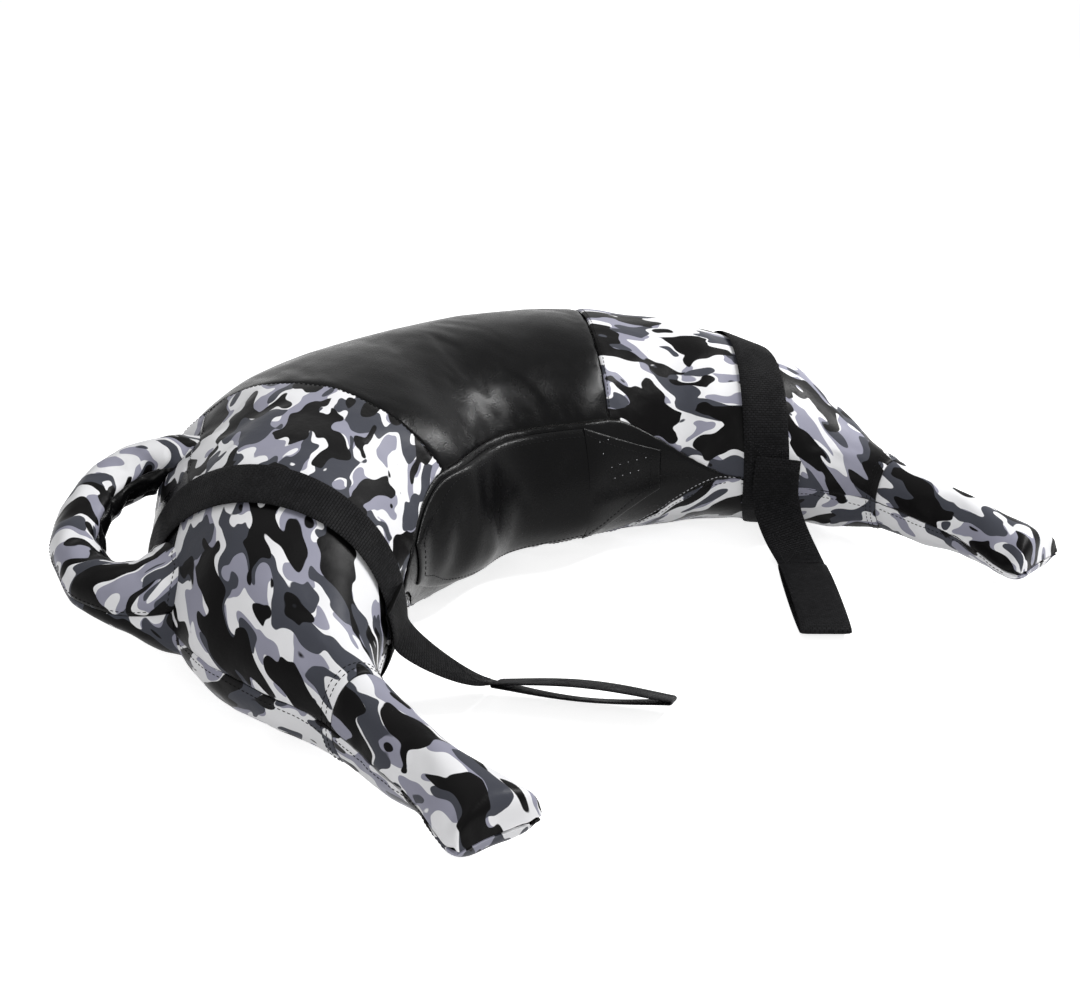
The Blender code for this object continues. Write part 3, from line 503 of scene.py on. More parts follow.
def skin_at(arc, angle, out=0.0):
    """Points of the skin at arcs and angles, moved outwards square to the section's outline."""
    arc, angle = np.broadcast_arrays(np.asarray(arc, float), np.asarray(angle, float))
    out = np.asarray(out) * (1 - tip_share(arc) / 2)
    before, after = section_point(arc, angle - 0.5), section_point(arc, angle + 0.5)
    run_across, run_up = after[0] - before[0], after[1] - before[1]
    length = np.hypot(run_across, run_up)
    across, height = section_point(arc, angle)
    across = across + out * run_up / length
    height = height - out * run_across / length
    centre, outward, along = spine_frame(arc)
    place = centre + outward * across[..., None] + along * (out * tip_share(arc))[..., None]
    risen = smooth_step((arc - RISE_ARC) / RISE_EASE) * smooth_step((TIP_ARC - arc) / RISE_FADE)
    place[..., 2] += height + RIGHT_RISE * risen
    return place


crown_top = skin_at(0.0, 90.0)
print("top of the crown at %.1f mm, spine at y %.1f mm" % (crown_top[2] * 1000, SPINE_Y * 1000))

# %% Seam lines
CENTRE_SEAM_ARC, SIDE_SEAM_ARC = 0.157, 0.330
PATCH_TOP_ANGLE, PATCH_BASE_ANGLE = 148.0, 212.0
LOOP_ROOT_TOP_ANGLE = 48.0
HALF_SEAM = 0.0003
patch_share = smooth_curve([0.0, CENTRE_SEAM_ARC, SIDE_SEAM_ARC], [1.0, 0.94, 0.0])
root_knots = [CENTRE_SEAM_ARC + share * (SIDE_SEAM_ARC - CENTRE_SEAM_ARC)
              for share in (0.0, 0.45, 0.72, 1.0)]
root_share = smooth_curve(root_knots, [1.0, 0.98, 0.50, 0.0])


def patch_top(arc):
    return 180.0 - (180.0 - PATCH_TOP_ANGLE) * patch_share(np.abs(arc))


def patch_base(arc):
    return 180.0 + (PATCH_BASE_ANGLE - 180.0) * patch_share(np.abs(arc))


def root_top(arc):
    return LOOP_ROOT_TOP_ANGLE * root_share(np.abs(arc))


def level_line(angle):
    return lambda arc: np.full(np.shape(arc), float(angle))


def seam_room_angle(arc):
    """Half of the seam's gap, as an angle round the section."""
    reach = np.abs(arc)
    return np.degrees(HALF_SEAM / np.minimum(half_width(reach), section_height(reach) / 2))

# %% [markdown]
# Panels
#
# The real skin is cut from flat sheets, sewn edge to edge inside out and then turned and filled. Each
# panel here is a grid of points on the skin, evenly spaced by real length, with closer lines next to its
# seams, where the cloth turns in. The grid keeps for each point how far it is from the nearest seam, and
# a flat map of the panel in metres, which the print follows.

# %% Panel grids
PANEL_PITCH, BASE_PITCH = 0.0048, 0.0075
SEAM_LINES = (0.0, 0.0011, 0.0028)
LENGTH_SAMPLES, GIRTH_SAMPLES = 600, 161


def graded_shares(length, pitch):
    """Shares of a length for grid lines a pitch apart, and closer ones next to both seams."""
    if length < 5 * pitch:
        return np.linspace(0.0, 1.0, max(3, int(length / pitch) + 2))
    inner = np.linspace(SEAM_LINES[-1], length - SEAM_LINES[-1], max(3, int(length / pitch)))
    far = [length - line for line in SEAM_LINES[-2::-1]]
    return np.concatenate([SEAM_LINES[:-1], inner, far]) / length


def path_lengths(points, axis):
    steps = np.linalg.norm(np.diff(points, axis=axis), axis=-1)
    run = np.cumsum(steps, axis=axis)
    pad = [(0, 0)] * run.ndim
    pad[axis] = (1, 0)
    return np.pad(run, pad)


def graded_along(start, end, path_at, pitch):
    fine = np.linspace(start, end, LENGTH_SAMPLES)
    run = path_lengths(path_at(fine), 0)
    return np.interp(graded_shares(run[-1], pitch) * run[-1], run, fine)


def panel_grid(start, end, low, high, pitch):
    """Arcs and angles of a panel's grid, as two arrays of rows by columns."""
    arcs = graded_along(start, end, lambda arc: skin_at(arc, (low(arc) + high(arc)) / 2), pitch)
    fine = np.linspace(0.0, 1.0, GIRTH_SAMPLES)
    angles = low(arcs)[:, None] * (1 - fine) + high(arcs)[:, None] * fine
    run = path_lengths(skin_at(arcs[:, None], angles), 1)
    shares = graded_shares(run[:, -1].max(), pitch)
    graded = np.array([np.interp(shares * line[-1], line, row) for line, row in zip(run, angles)])
    return np.repeat(arcs[:, None], len(shares), axis=1), graded


def flat_map(points, corner):
    """The panel laid flat, in metres: length along the rows and girth along the columns."""
    length = path_lengths(points, 0)
    girth = path_lengths(points, 1)
    length = length - length[len(length) // 2]
    girth = girth - girth[:, girth.shape[1] // 2][:, None]
    return np.stack([length + corner[0], girth + corner[1]], -1)


def seam_room(points, square_end=None):
    """Distance from each grid point to the nearest edge, along the panel. A square end isn't counted."""
    length, girth = path_lengths(points, 0), path_lengths(points, 1)
    ends = {"last": length, "first": length[-1:] - length}
    to_end = ends.get(square_end, np.minimum(*ends.values()))
    return np.minimum(to_end, np.minimum(girth, girth[:, -1:] - girth))

# %% The skin's panels
def sewn_up(line):
    return lambda arc: line(arc) + seam_room_angle(arc)


def sewn_down(line):
    return lambda arc: line(arc) - seam_room_angle(arc)


def on_both_arms(near, far):
    """The same stretch of both arms: name, first arc, last arc."""
    return (("left", -far + HALF_SEAM, -near - HALF_SEAM),
            ("right", near + HALF_SEAM, far - HALF_SEAM))


PRINT_STEP_LONG, PRINT_STEP_WIDE, PRINT_COLUMNS = 0.41, 0.77, 5
panels = {}


def cut_panel(name, start, end, low, high, finish, pitch=PANEL_PITCH, puff=1.0, keep_out=None):
    """One panel's grid. Its print starts at another corner of the printed sheet than the last one's."""
    arcs, angles = panel_grid(start, end, low, high, pitch)
    rest = skin_at(arcs, angles)
    number = len(panels)
    corner = (PRINT_STEP_LONG * number, PRINT_STEP_WIDE * (number % PRINT_COLUMNS))
    panels[name] = {"arcs": arcs, "angles": angles, "rest": rest, "room": seam_room(rest),
                    "flat": flat_map(rest, corner), "finish": finish, "puff": puff,
                    "keep_out": keep_out}


SLIT_START_ARC, SLIT_END_ARC = -0.090, 0.140
NECK_SLIT_ANGLE, LINER_SLIT_ANGLE = 172.0, 165.0


def filler_slit(top_angle):
    """Tells whether a place lies in the filler slit, from this angle down to the neck line."""
    return lambda arc, angle: ((arc > SLIT_START_ARC) & (arc < SLIT_END_ARC)
                               & (angle > top_angle) & (angle < 180.0))


OUTER, NECK, UNDER = level_line(0.0), level_line(180.0), level_line(360.0)
POINT_ROOM = 0.0012
NEAR_SIDE_SEAM = SIDE_SEAM_ARC - POINT_ROOM
CROWN_PUFF = 0.5

cut_panel("crown_panel", -CENTRE_SEAM_ARC + HALF_SEAM, CENTRE_SEAM_ARC - HALF_SEAM,
          sewn_up(OUTER), sewn_down(patch_top), leather, puff=CROWN_PUFF)
cut_panel("belly_panel", -NEAR_SIDE_SEAM, NEAR_SIDE_SEAM, sewn_up(patch_base), sewn_down(UNDER),
          camouflage, BASE_PITCH)
cut_panel("neck_panel", -NEAR_SIDE_SEAM, NEAR_SIDE_SEAM, sewn_up(patch_top), sewn_down(patch_base),
          leather, puff=0.0, keep_out=filler_slit(NECK_SLIT_ANGLE))
for side, start, end in on_both_arms(CENTRE_SEAM_ARC, ARM_LENGTH):
    cut_panel(side + "_arm_panel", start, end, sewn_up(root_top), sewn_down(patch_top), camouflage)
for side, start, end in on_both_arms(CENTRE_SEAM_ARC, NEAR_SIDE_SEAM):
    cut_panel(side + "_root_panel", start, end, sewn_up(OUTER), sewn_down(root_top), camouflage)
for side, start, end in on_both_arms(SIDE_SEAM_ARC, ARM_LENGTH):
    cut_panel(side + "_underarm_panel", start, end, sewn_up(NECK), sewn_down(UNDER), camouflage)
for side, start, end in on_both_arms(ARM_LENGTH, TIP_ARC):
    cut_panel(side + "_grip_panel", start, end, sewn_up(OUTER), sewn_down(NECK), camouflage)
    cut_panel(side + "_undergrip_panel", start, end, sewn_up(NECK), sewn_down(UNDER), camouflage)
print("panels:", len(panels), "with", sum(p["room"].size for p in panels.values()), "points")

# %% [markdown]
# Filling the bag
#
# A filled bag swells between its seams and stays narrow at them, and a strap presses it in. The swelling
# is a cloth simulation: every panel is a cloth pinned along its seams, a little larger than its cut, with
# pressure behind it and no gravity. All panels settle in one run of twenty frames. Afterwards no point
# may have moved further than a cap, and under the straps and on the ground it doesn't move at all.

# %% Settle the cloth
SWELL_CAP, SINK_CAP, SLIDE_SHARE = 0.0055, 0.0012, 0.3
SWELL_PRESSURE, CLOTH_GROWTH = 4.0, -0.012
STRETCH_STIFFNESS, BENDING_STIFFNESS = 30.0, 2.0
SETTLING_FRAMES = 20
NARROW_CELL = 0.00054


def grid_quads(rows, columns, first=0):
    """The four corners of each cell of a grid, whose points are numbered row by row."""
    corner = np.arange(rows - 1)[:, None] * columns + np.arange(columns - 1)[None, :]
    corner = corner.ravel() + first
    return np.stack([corner, corner + 1, corner + columns + 1, corner + columns], -1)


def pinned_points(panel):
    """Points on a seam, and points where the panel is too narrow to move."""
    girth_step = np.gradient(path_lengths(panel["rest"], 1), axis=1)
    return (panel["room"] <= 0) | (girth_step < NARROW_CELL)


def settle(cloths):
    """Every point of the cloths after the simulation, as one array for each cloth."""
    points, quads, pins, first = [], [], [], 0
    for panel in cloths:
        rows, columns = panel["room"].shape
        quads.append(grid_quads(rows, columns, first))
        points.append(panel["rest"].reshape(-1, 3))
        pins.append(np.flatnonzero(pinned_points(panel).ravel()) + first)
        first += rows * columns
    mesh = bpy.data.meshes.new("settling_cloth")
    mesh.from_pydata(np.concatenate(points).tolist(), [], np.concatenate(quads).tolist())
    thing = placed("settling_cloth", mesh)
    sewn = thing.vertex_groups.new(name="sewn")
    sewn.add(np.concatenate(pins).tolist(), 1.0, "REPLACE")
    cloth = thing.modifiers.new("filling", "CLOTH")
    cloth.settings.vertex_group_mass = "sewn"
    cloth.settings.use_pressure = True
    cloth.settings.uniform_pressure_force = SWELL_PRESSURE
    cloth.settings.shrink_min = CLOTH_GROWTH
    cloth.settings.tension_stiffness = STRETCH_STIFFNESS
    cloth.settings.compression_stiffness = STRETCH_STIFFNESS
    cloth.settings.bending_stiffness = BENDING_STIFFNESS
    cloth.settings.effector_weights.gravity = 0.0
    cloth.collision_settings.use_collision = False
    cloth.point_cache.frame_end = SETTLING_FRAMES
    for step in range(1, SETTLING_FRAMES + 1):
        bpy.context.scene.frame_set(step)
    settled = thing.evaluated_get(bpy.context.evaluated_depsgraph_get()).to_mesh()
    flat = np.zeros(first * 3)
    settled.vertices.foreach_get("co", flat)
    bpy.context.scene.frame_set(1)
    bpy.data.objects.remove(thing, do_unlink=True)
    results, first = [], 0
    for panel in cloths:
        count = panel["room"].size
        results.append(flat.reshape(-1, 3)[first:first + count].reshape(panel["rest"].shape))
        first += count
    return results

# %% Straps press the skin in
BAND_OUTER_ARC, BAND_INNER_ARC = 0.266, 0.352
WEBBING_WIDTH = 0.040
PRESSED_EDGE, GROUND_EDGE, WRIST_EDGE = 0.022, 0.012, 0.045
PROBE = 0.001


def band_arc(angle):
    """The strap slants: nearer the crown at the loop handle, nearer the wrist on the neck side."""
    share = (1 - np.cos(np.radians(angle))) / 2
    return BAND_OUTER_ARC + (BAND_INNER_ARC - BAND_OUTER_ARC) * share


def free_share(panel):
    """0 where a strap or the ground holds the skin, and 1 where it may swell."""
    clear = np.abs(np.abs(panel["arcs"]) - band_arc(panel["angles"])) - WEBBING_WIDTH / 2
    ground = np.where(panel["angles"] > 180.0, panel["rest"][..., 2] / GROUND_EDGE, 1.0)
    wrist = np.abs(np.abs(panel["arcs"]) - ARM_LENGTH) / WRIST_EDGE
    held = smooth_step(clear / PRESSED_EDGE) * smooth_step(ground) * smooth_step(wrist)
    return held * panel["puff"]


def away_from_bag(panel):
    """Directions away from the bag, found by a look at the skin a millimetre further out."""
    return unit(skin_at(panel["arcs"], panel["angles"], PROBE) - panel["rest"])


filled = list(panels.values())
settled = settle(filled)
furthest = 0.0
for panel, points in zip(filled, settled):
    move = points - panel["rest"]
    away = away_from_bag(panel)
    rise = (move * away).sum(axis=-1, keepdims=True)
    move = (move - away * rise) * SLIDE_SHARE + away * np.maximum(rise, -SINK_CAP)
    distance = np.linalg.norm(move, axis=-1, keepdims=True)
    capped = move * np.minimum(1.0, SWELL_CAP / np.maximum(distance, 1e-9))
    panel["filled"] = panel["rest"] + capped * free_share(panel)[..., None]
    furthest = max(furthest, float(distance.max()))
print("furthest a point moved before the cap: %.1f mm" % (furthest * 1000))

# %% [markdown]
# Sewing the panels
#
# A grid becomes a mesh with one subdivision. Then the seams are sewn in: the skin dips towards its edge,
# puckers a little between the stitches, and turns in over the edge as the seam allowance does. Broad,
# shallow unevenness shows where the sand has settled, and a few creases lie where the real bag has them,
# at the roots of the loop handles and where the arms narrow to the grips.

# %% Unevenness and creases
WAVE_COUNT, WAVE_SPREAD = 22, 1.7


def ripple(points, wavelength, seed):
    """An even, repeatable unevenness of about -1 to 1: slanting waves laid over each other."""
    dice = np.random.default_rng(seed)
    ways = dice.normal(size=(WAVE_COUNT, 3))
    ways *= 2 * math.pi / (wavelength * dice.uniform(0.75, 1.4, (WAVE_COUNT, 1)))
    ways /= WAVE_SPREAD
    dice.normal(size=(WAVE_COUNT, 3))  # a throw laid aside, because the bag's waves follow the next one
    phases = dice.uniform(0.0, 2 * math.pi, WAVE_COUNT)
    return np.cos(points @ ways.T + phases).sum(axis=-1) / math.sqrt(WAVE_COUNT / 2)


# Side, arc, angle round the section, slant of the crease from the spine, length, width, depth
CREASES = (
    (-1, 0.428, 58.0, 8.0, 0.014, 0.0045, 0.0008),
    (-1, 0.425, 92.0, -6.0, 0.018, 0.0050, 0.0010),
    (-1, 0.430, 128.0, 5.0, 0.014, 0.0045, 0.0008),
    (1, 0.426, 75.0, 6.0, 0.016, 0.0048, 0.0009),
    (1, 0.430, 112.0, -8.0, 0.018, 0.0050, 0.0010),
    (-1, 0.190, 52.0, 62.0, 0.018, 0.0050, 0.0016),
    (-1, 0.205, 56.0, 75.0, 0.015, 0.0045, 0.0013),
    (1, 0.195, 54.0, 68.0, 0.018, 0.0050, 0.0016),
)


def crease_depth(points):
    total = np.zeros(len(points))
    for side, arc, angle, slant, length, width, depth in CREASES:
        along = spine_frame(side * arc)[2]
        girth = unit(skin_at(side * arc, angle + 1.0) - skin_at(side * arc, angle - 1.0))
        level, steep = math.cos(math.radians(slant)), math.sin(math.radians(slant))
        offset = points - skin_at(side * arc, angle)
        lengthways = offset @ (along * level + girth * steep) / length
        crosswise = offset @ (girth * level - along * steep) / width
        total += depth * np.exp(-lengthways ** 2 - crosswise ** 2)
    return total

# %% Grid to mesh
def vertex_array(mesh, what="co"):
    data = np.zeros(len(mesh.vertices) * 3)
    mesh.vertices.foreach_get(what, data)
    return data.reshape(-1, 3)


def point_values(mesh, name):
    values = np.zeros(len(mesh.vertices))
    mesh.attributes[name].data.foreach_get("value", values)
    return values


def write_flat_map(mesh, flat):
    layer = mesh.uv_layers.new(name="flat")
    corners = np.zeros(len(mesh.loops), int)
    mesh.loops.foreach_get("vertex_index", corners)
    layer.data.foreach_set("uv", flat[corners].ravel())


def made_real(carrier):
    """The carrier's mesh with its modifiers applied. The carrier itself is taken away."""
    bpy.context.view_layer.update()
    real = bpy.data.meshes.new_from_object(
        carrier.evaluated_get(bpy.context.evaluated_depsgraph_get()))
    bpy.data.objects.remove(carrier, do_unlink=True)
    return real


def smooth_copy(mesh, name):
    """The mesh after one subdivision, which keeps its corners."""
    carrier = placed(name, mesh)
    rounding = carrier.modifiers.new("rounding", "SUBSURF")
    rounding.levels = rounding.render_levels = 1
    rounding.boundary_smooth = "PRESERVE_CORNERS"
    rounding.uv_smooth = "PRESERVE_CORNERS"
    fine = made_real(carrier)
    fine.name = name
    return fine


def face_outwards(mesh, quads, away):
    """Turns the faces over if, taken together, they look against the directions away from the inside."""
    a, b, c = (vertex_array(mesh)[quads[:, i]] for i in range(3))
    if (np.cross(b - a, c - a) * away.reshape(-1, 3)[quads[:, 0]]).sum() < 0:
        mesh.flip_normals()


@contextmanager
def edited(mesh):
    """The mesh opened for editing, and written back afterwards."""
    work = bmesh.new()
    work.from_mesh(mesh)
    yield work
    work.to_mesh(mesh)
    work.free()


def outwards(mesh):
    """Turns a closed form's faces over if they look inwards."""
    with edited(mesh) as work:
        if work.calc_volume(signed=True) < 0:
            bmesh.ops.reverse_faces(work, faces=work.faces)


def new_thing(name, mesh, finish):
    mesh.materials.clear()
    mesh.materials.append(finish)
    mesh.shade_smooth()
    return placed(name, mesh)


def closed_sleeve(name, rings, finish, leave_out=None):
    """Rings of points joined into one closed sleeve with an end face at each end."""
    rows, columns = rings.shape[:2]
    faces = []
    for i in range(rows - 1):
        for j in range(columns):
            if leave_out is None or not leave_out(i, j):
                m = (j + 1) % columns
                faces.append((i * columns + j, i * columns + m,
                              (i + 1) * columns + m, (i + 1) * columns + j))
    faces.append(tuple(reversed(range(columns))))
    faces.append(tuple((rows - 1) * columns + j for j in range(columns)))
    mesh = bpy.data.meshes.new(name)
    mesh.from_pydata(rings.reshape(-1, 3).tolist(), [], faces)
    outwards(mesh)
    return new_thing(name, mesh, finish)

# %% Sew one panel
DIP_DEPTH, DIP_REACH = 0.0009, 0.0014
PUCKER_DEPTH, PUCKER_REACH, PUCKER_PITCH = 0.00016, 0.006, 0.010
SAND_DEPTH, SAND_LENGTH = 0.0010, 0.10
WRINKLE_DEPTH, WRINKLE_LENGTH = 0.00022, 0.030
TURNED_IN, TURNED_ANGLE = 0.0018, 58.0
NECK_POINT_EASE = 0.03
GROUND_GAP = 0.0003


def turn_in_edges(mesh):
    """The seam allowance: a narrow wall from every open edge into the bag."""
    with edited(mesh) as work:
        work.normal_update()
        edges = [edge for edge in work.edges if edge.is_boundary]
        drop = {vert: vert.normal.copy() for edge in edges for vert in edge.verts}
        made = bmesh.ops.extrude_edge_only(work, edges=edges)["geom"]
        for vert in [item for item in made if isinstance(item, bmesh.types.BMVert)]:
            source = next(edge.other_vert(vert) for edge in vert.link_edges
                          if edge.other_vert(vert) in drop)
            vert.co -= drop[source] * TURNED_IN
        work.normal_update()
    mesh.set_sharp_from_angle(angle=math.radians(TURNED_ANGLE))


def stitched_share(name, panel):
    """1 where stitches pull the seam in. They stop at the tip, and at the neck panel's two points."""
    reach = np.abs(panel["arcs"])
    share = smooth_step((TIP_ARC - reach) / (2 * TIP_ROUND))
    if name == "neck_panel":
        share = share * smooth_step((SIDE_SEAM_ARC - reach) / NECK_POINT_EASE)
    return share


def sew_panel(name, panel):
    quads = grid_quads(*panel["room"].shape)
    if panel["keep_out"] is not None:
        middle_arc = panel["arcs"].ravel()[quads].mean(axis=1)
        middle_angle = panel["angles"].ravel()[quads].mean(axis=1)
        quads = quads[~panel["keep_out"](middle_arc, middle_angle)]
    mesh = bpy.data.meshes.new(name)
    mesh.from_pydata(panel["filled"].reshape(-1, 3).tolist(), [], quads.tolist())
    write_flat_map(mesh, panel["flat"].reshape(-1, 2))
    facts = {"room": panel["room"], "free": free_share(panel), "sewn": stitched_share(name, panel)}
    for fact, values in facts.items():
        mesh.attributes.new(fact, "FLOAT", "POINT").data.foreach_set("value", values.ravel())
    face_outwards(mesh, quads, away_from_bag(panel))
    fine = smooth_copy(mesh, name)
    points, square = vertex_array(fine), vertex_array(fine, "normal")
    room, free, sewn = (point_values(fine, fact) for fact in facts)
    out = ripple(points, SAND_LENGTH, seed=3) * SAND_DEPTH * free
    out += ripple(points, WRINKLE_LENGTH, seed=7) * WRINKLE_DEPTH * free
    out -= DIP_DEPTH * np.exp(-room / DIP_REACH) * sewn
    out += PUCKER_DEPTH * ripple(points, PUCKER_PITCH, seed=11) * np.exp(-room / PUCKER_REACH) * sewn
    out -= crease_depth(points) * free
    points = points + square * out[:, None]
    points[:, 2] = np.maximum(points[:, 2], GROUND_GAP)
    fine.vertices.foreach_set("co", points.ravel())
    fine.update()
    for fact in facts:
        fine.attributes.remove(fine.attributes[fact])
    turn_in_edges(fine)
    return new_thing(name, fine, panel["finish"])


skin_things = {name: sew_panel(name, panel) for name, panel in panels.items()}
print("skin:", sum(len(thing.data.polygons) for thing in skin_things.values()), "faces")

# %% A surface to look places up on
def surface_tree(things):
    points, polygons, first = [], [], 0
    for thing in things:
        points += [vertex.co.copy() for vertex in thing.data.vertices]
        polygons += [[first + i for i in polygon.vertices] for polygon in thing.data.polygons]
        first += len(thing.data.vertices)
    return BVHTree.FromPolygons(points, polygons)


skin_tree = surface_tree(skin_things.values())

# %% [markdown]
# The neck closure
#
# The filler slit is covered by a padded black flap, and the flap's free end is a tab that folds back on a
# hook-and-loop tape. Both are closed forms: the outer face rises from the edge in a quarter round, as a
# turned and sewn edge does. The flap gets its own swelling, and the soft upright folds near its left end
# are waves that fade towards the edges.

# %% Flap shapes
COVER_LEFT_ARC, FOLD_ARC, TAB_LENGTH = -0.252, 0.112, 0.118
PATCH_EDGE_ANGLE, COVER_BASE_ANGLE, TAB_SLANT_ANGLE = 2.0, 199.0, 15.0
COVER_THICKNESS, COVER_THIN, COVER_EDGE = 0.0052, 0.0018, 0.005
TAB_THICKNESS, TAB_EDGE = 0.002, 0.0018
TAPE_THICKNESS, TAPE_ROUNDING, TAPE_EDGE, TAPE_END = 0.0012, 0.0008, 0.014, 0.016
LAYER_GAP = 0.0007
TAPE_OUT = LAYER_GAP
TAB_TAPE_OUT = TAPE_OUT + TAPE_THICKNESS + LAYER_GAP
TAB_OUT = TAB_TAPE_OUT + TAPE_THICKNESS + LAYER_GAP
FLAP_PITCH, FLAP_ANGLE, WELD_DISTANCE = 0.004, 60.0, 0.00002


def cover_top(arc):
    return patch_top(arc) + PATCH_EDGE_ANGLE


def cover_base(arc):
    return 180.0 + (COVER_BASE_ANGLE - 180.0) * patch_share(np.abs(arc))


def tab_top(arc):
    return cover_top(FOLD_ARC) + TAB_SLANT_ANGLE * (arc - FOLD_ARC) / TAB_LENGTH


def tab_base(arc):
    return cover_base(FOLD_ARC) - TAB_SLANT_ANGLE * (arc - FOLD_ARC) / TAB_LENGTH


def close_openings(mesh):
    """Fills each open edge loop and turns the closed form's faces outwards."""
    with edited(mesh) as work:
        bmesh.ops.holes_fill(work, edges=[edge for edge in work.edges if edge.is_boundary], sides=0)
        bmesh.ops.recalc_face_normals(work, faces=work.faces)
    outwards(mesh)


def flap(name, start, end, low, high, base_out, thickness, edge, finish, bulge=None, square_end=None):
    """A closed flap on the skin: a flat back, and a front that rounds up from its edges."""
    arcs, angles = panel_grid(start, end, low, high, FLAP_PITCH)
    back = skin_at(arcs, angles, base_out)
    room = seam_room(back, square_end)
    rounding = np.sqrt(1 - (1 - np.clip(room / edge, 0.0, 1.0)) ** 2)
    rise = (thickness(arcs) if callable(thickness) else thickness) * rounding
    if bulge is not None:
        rise = rise + bulge(arcs, angles, room)
    front = skin_at(arcs, angles, base_out + rise)
    quads = grid_quads(*room.shape)
    points = np.concatenate([front.reshape(-1, 3), back.reshape(-1, 3)])
    faces = np.concatenate([quads, quads[:, ::-1] + room.size])
    mesh = bpy.data.meshes.new(name)
    mesh.from_pydata(points.tolist(), [], faces.tolist())
    flat = flat_map(back, (0.0, 0.0)).reshape(-1, 2)
    write_flat_map(mesh, np.concatenate([flat, flat]))
    with edited(mesh) as work:
        bmesh.ops.remove_doubles(work, verts=work.verts, dist=WELD_DISTANCE)
    outwards(mesh)
    fine = smooth_copy(mesh, name)
    close_openings(fine)
    thing = new_thing(name, fine, finish)
    fine.set_sharp_from_angle(angle=math.radians(FLAP_ANGLE))
    return thing

# %% Padding and folds of the cover
PADDING_EASE, PADDING_RISE, PADDING_WAVE = 0.030, 0.0009, 0.0005
UPRIGHT_PITCH, UPRIGHT_RISE, UPRIGHT_REACH = 0.052, 0.0010, 0.42


def cover_share(arcs):
    """0 at the cover's left end and 1 where the tab begins."""
    return (arcs - COVER_LEFT_ARC) / (FOLD_ARC - COVER_LEFT_ARC)


def cover_thickness(arcs):
    return COVER_THIN + (COVER_THICKNESS - COVER_THIN) * smooth_step(cover_share(arcs))


def cover_folds(arcs, angles, room):
    """Soft padding, and upright folds that are deepest near the flap's left end."""
    bent = arcs / UPRIGHT_PITCH + 0.9 * np.sin(np.radians(angles * 2.4))
    fading = np.exp(-(cover_share(arcs) / UPRIGHT_REACH) ** 2)
    uneven = PADDING_WAVE * ripple(skin_at(arcs, angles), wavelength=0.05, seed=5)
    folds = UPRIGHT_RISE * np.cos(2 * math.pi * bent) * fading
    return smooth_step(room / PADDING_EASE) * (PADDING_RISE + folds + uneven)

# %% Cover, tab and tapes
filler_cover = flap("neck_flap", COVER_LEFT_ARC, FOLD_ARC - HALF_SEAM, cover_top, cover_base, LAYER_GAP,
                    cover_thickness, COVER_EDGE, leather, cover_folds, "last")
closure_tab = flap("closing_tab", FOLD_ARC + HALF_SEAM, FOLD_ARC + TAB_LENGTH, tab_top, tab_base,
                   TAB_OUT, TAB_THICKNESS, TAB_EDGE, leather, square_end="first")
tape_angle = math.degrees(TAPE_EDGE / half_width(FOLD_ARC))
tapes = [flap(name, FOLD_ARC + TAPE_END, FOLD_ARC + TAB_LENGTH - TAPE_END,
              lambda arc: tab_top(arc) + tape_angle, lambda arc: tab_base(arc) - tape_angle,
              out, TAPE_THICKNESS, TAPE_ROUNDING, hook_tape)
         for name, out in (("loop_tape_on_bag", TAPE_OUT), ("hook_tape_on_tab", TAB_TAPE_OUT))]
print("closure:", [thing.name for thing in (filler_cover, closure_tab, *tapes)])

# %% [markdown]
# The loop handles
#
# Each loop handle is a stuffed tube bent into an oval and sewn to the root panel, with a black facing on
# the side of the hole. Its columns are drawn from skin to skin: each one is followed from the middle of
# the loop until it meets the bag, so the tube ends exactly on the skin. The stuffing creases across the
# tube where the bend is tight, mostly next to the hole.

# %% Loop tube
LOOP_ARC, LOOP_REACH, LOOP_HEIGHT = 0.254, 0.088, 0.109
LOOP_HALF_LENGTH, LOOP_HALF_BULGE = 0.0745, 0.0555
LOOP_TUBE_RADIUS = 0.0225
LOOP_TILT, LOOP_TURN = 17.6, 5.4
LOOP_BURIED_ANGLE, LOOP_FACING_ANGLE = 38.0, 150.0
GUSSET_DROP, GUSSET_WEB, GUSSET_TURN, GUSSET_EASE = 0.030, 0.018, 35.0, 60.0


def loop_frame(side):
    centre, outward, along = spine_frame(side * LOOP_ARC)
    turn, tilt = math.radians(LOOP_TURN), math.radians(LOOP_TILT)
    up = np.array([0.0, 0.0, 1.0])
    bulge = outward * math.cos(turn) - along * math.sin(turn)
    level = along * math.cos(turn) + outward * math.sin(turn)
    lengthways = level * math.cos(tilt) - up * math.sin(tilt)
    square = level * math.sin(tilt) + up * math.cos(tilt)
    return centre + outward * LOOP_REACH + up * LOOP_HEIGHT, lengthways, bulge, square


def loop_points(side, turns, angles, radius):
    """Points of the tube: turns along the oval by angles round the tube, 180 facing the hole."""
    centre, lengthways, bulge, square = loop_frame(side)
    t, a = np.radians(turns)[..., None], np.radians(angles)[..., None]
    place = centre + lengthways * LOOP_HALF_LENGTH * np.cos(t) + bulge * LOOP_HALF_BULGE * np.sin(t)
    out = unit(lengthways * np.cos(t) / LOOP_HALF_LENGTH + bulge * np.sin(t) / LOOP_HALF_BULGE)
    return place + np.asarray(radius)[..., None] * (out * np.cos(a) + square * np.sin(a))


def flare(turns, angles):
    """Where the tube runs into the arm on the wrist side, it widens downwards and into the hole."""
    around = np.radians(angles)
    share = smooth_step((GUSSET_TURN - turns) / GUSSET_EASE)
    return share * (GUSSET_DROP * share * np.maximum(-np.sin(around), 0.0)
                    + GUSSET_WEB * np.maximum(-np.cos(around), 0.0) ** 2)

# %% Where the tube meets the bag
COLUMN_STEPS = 70


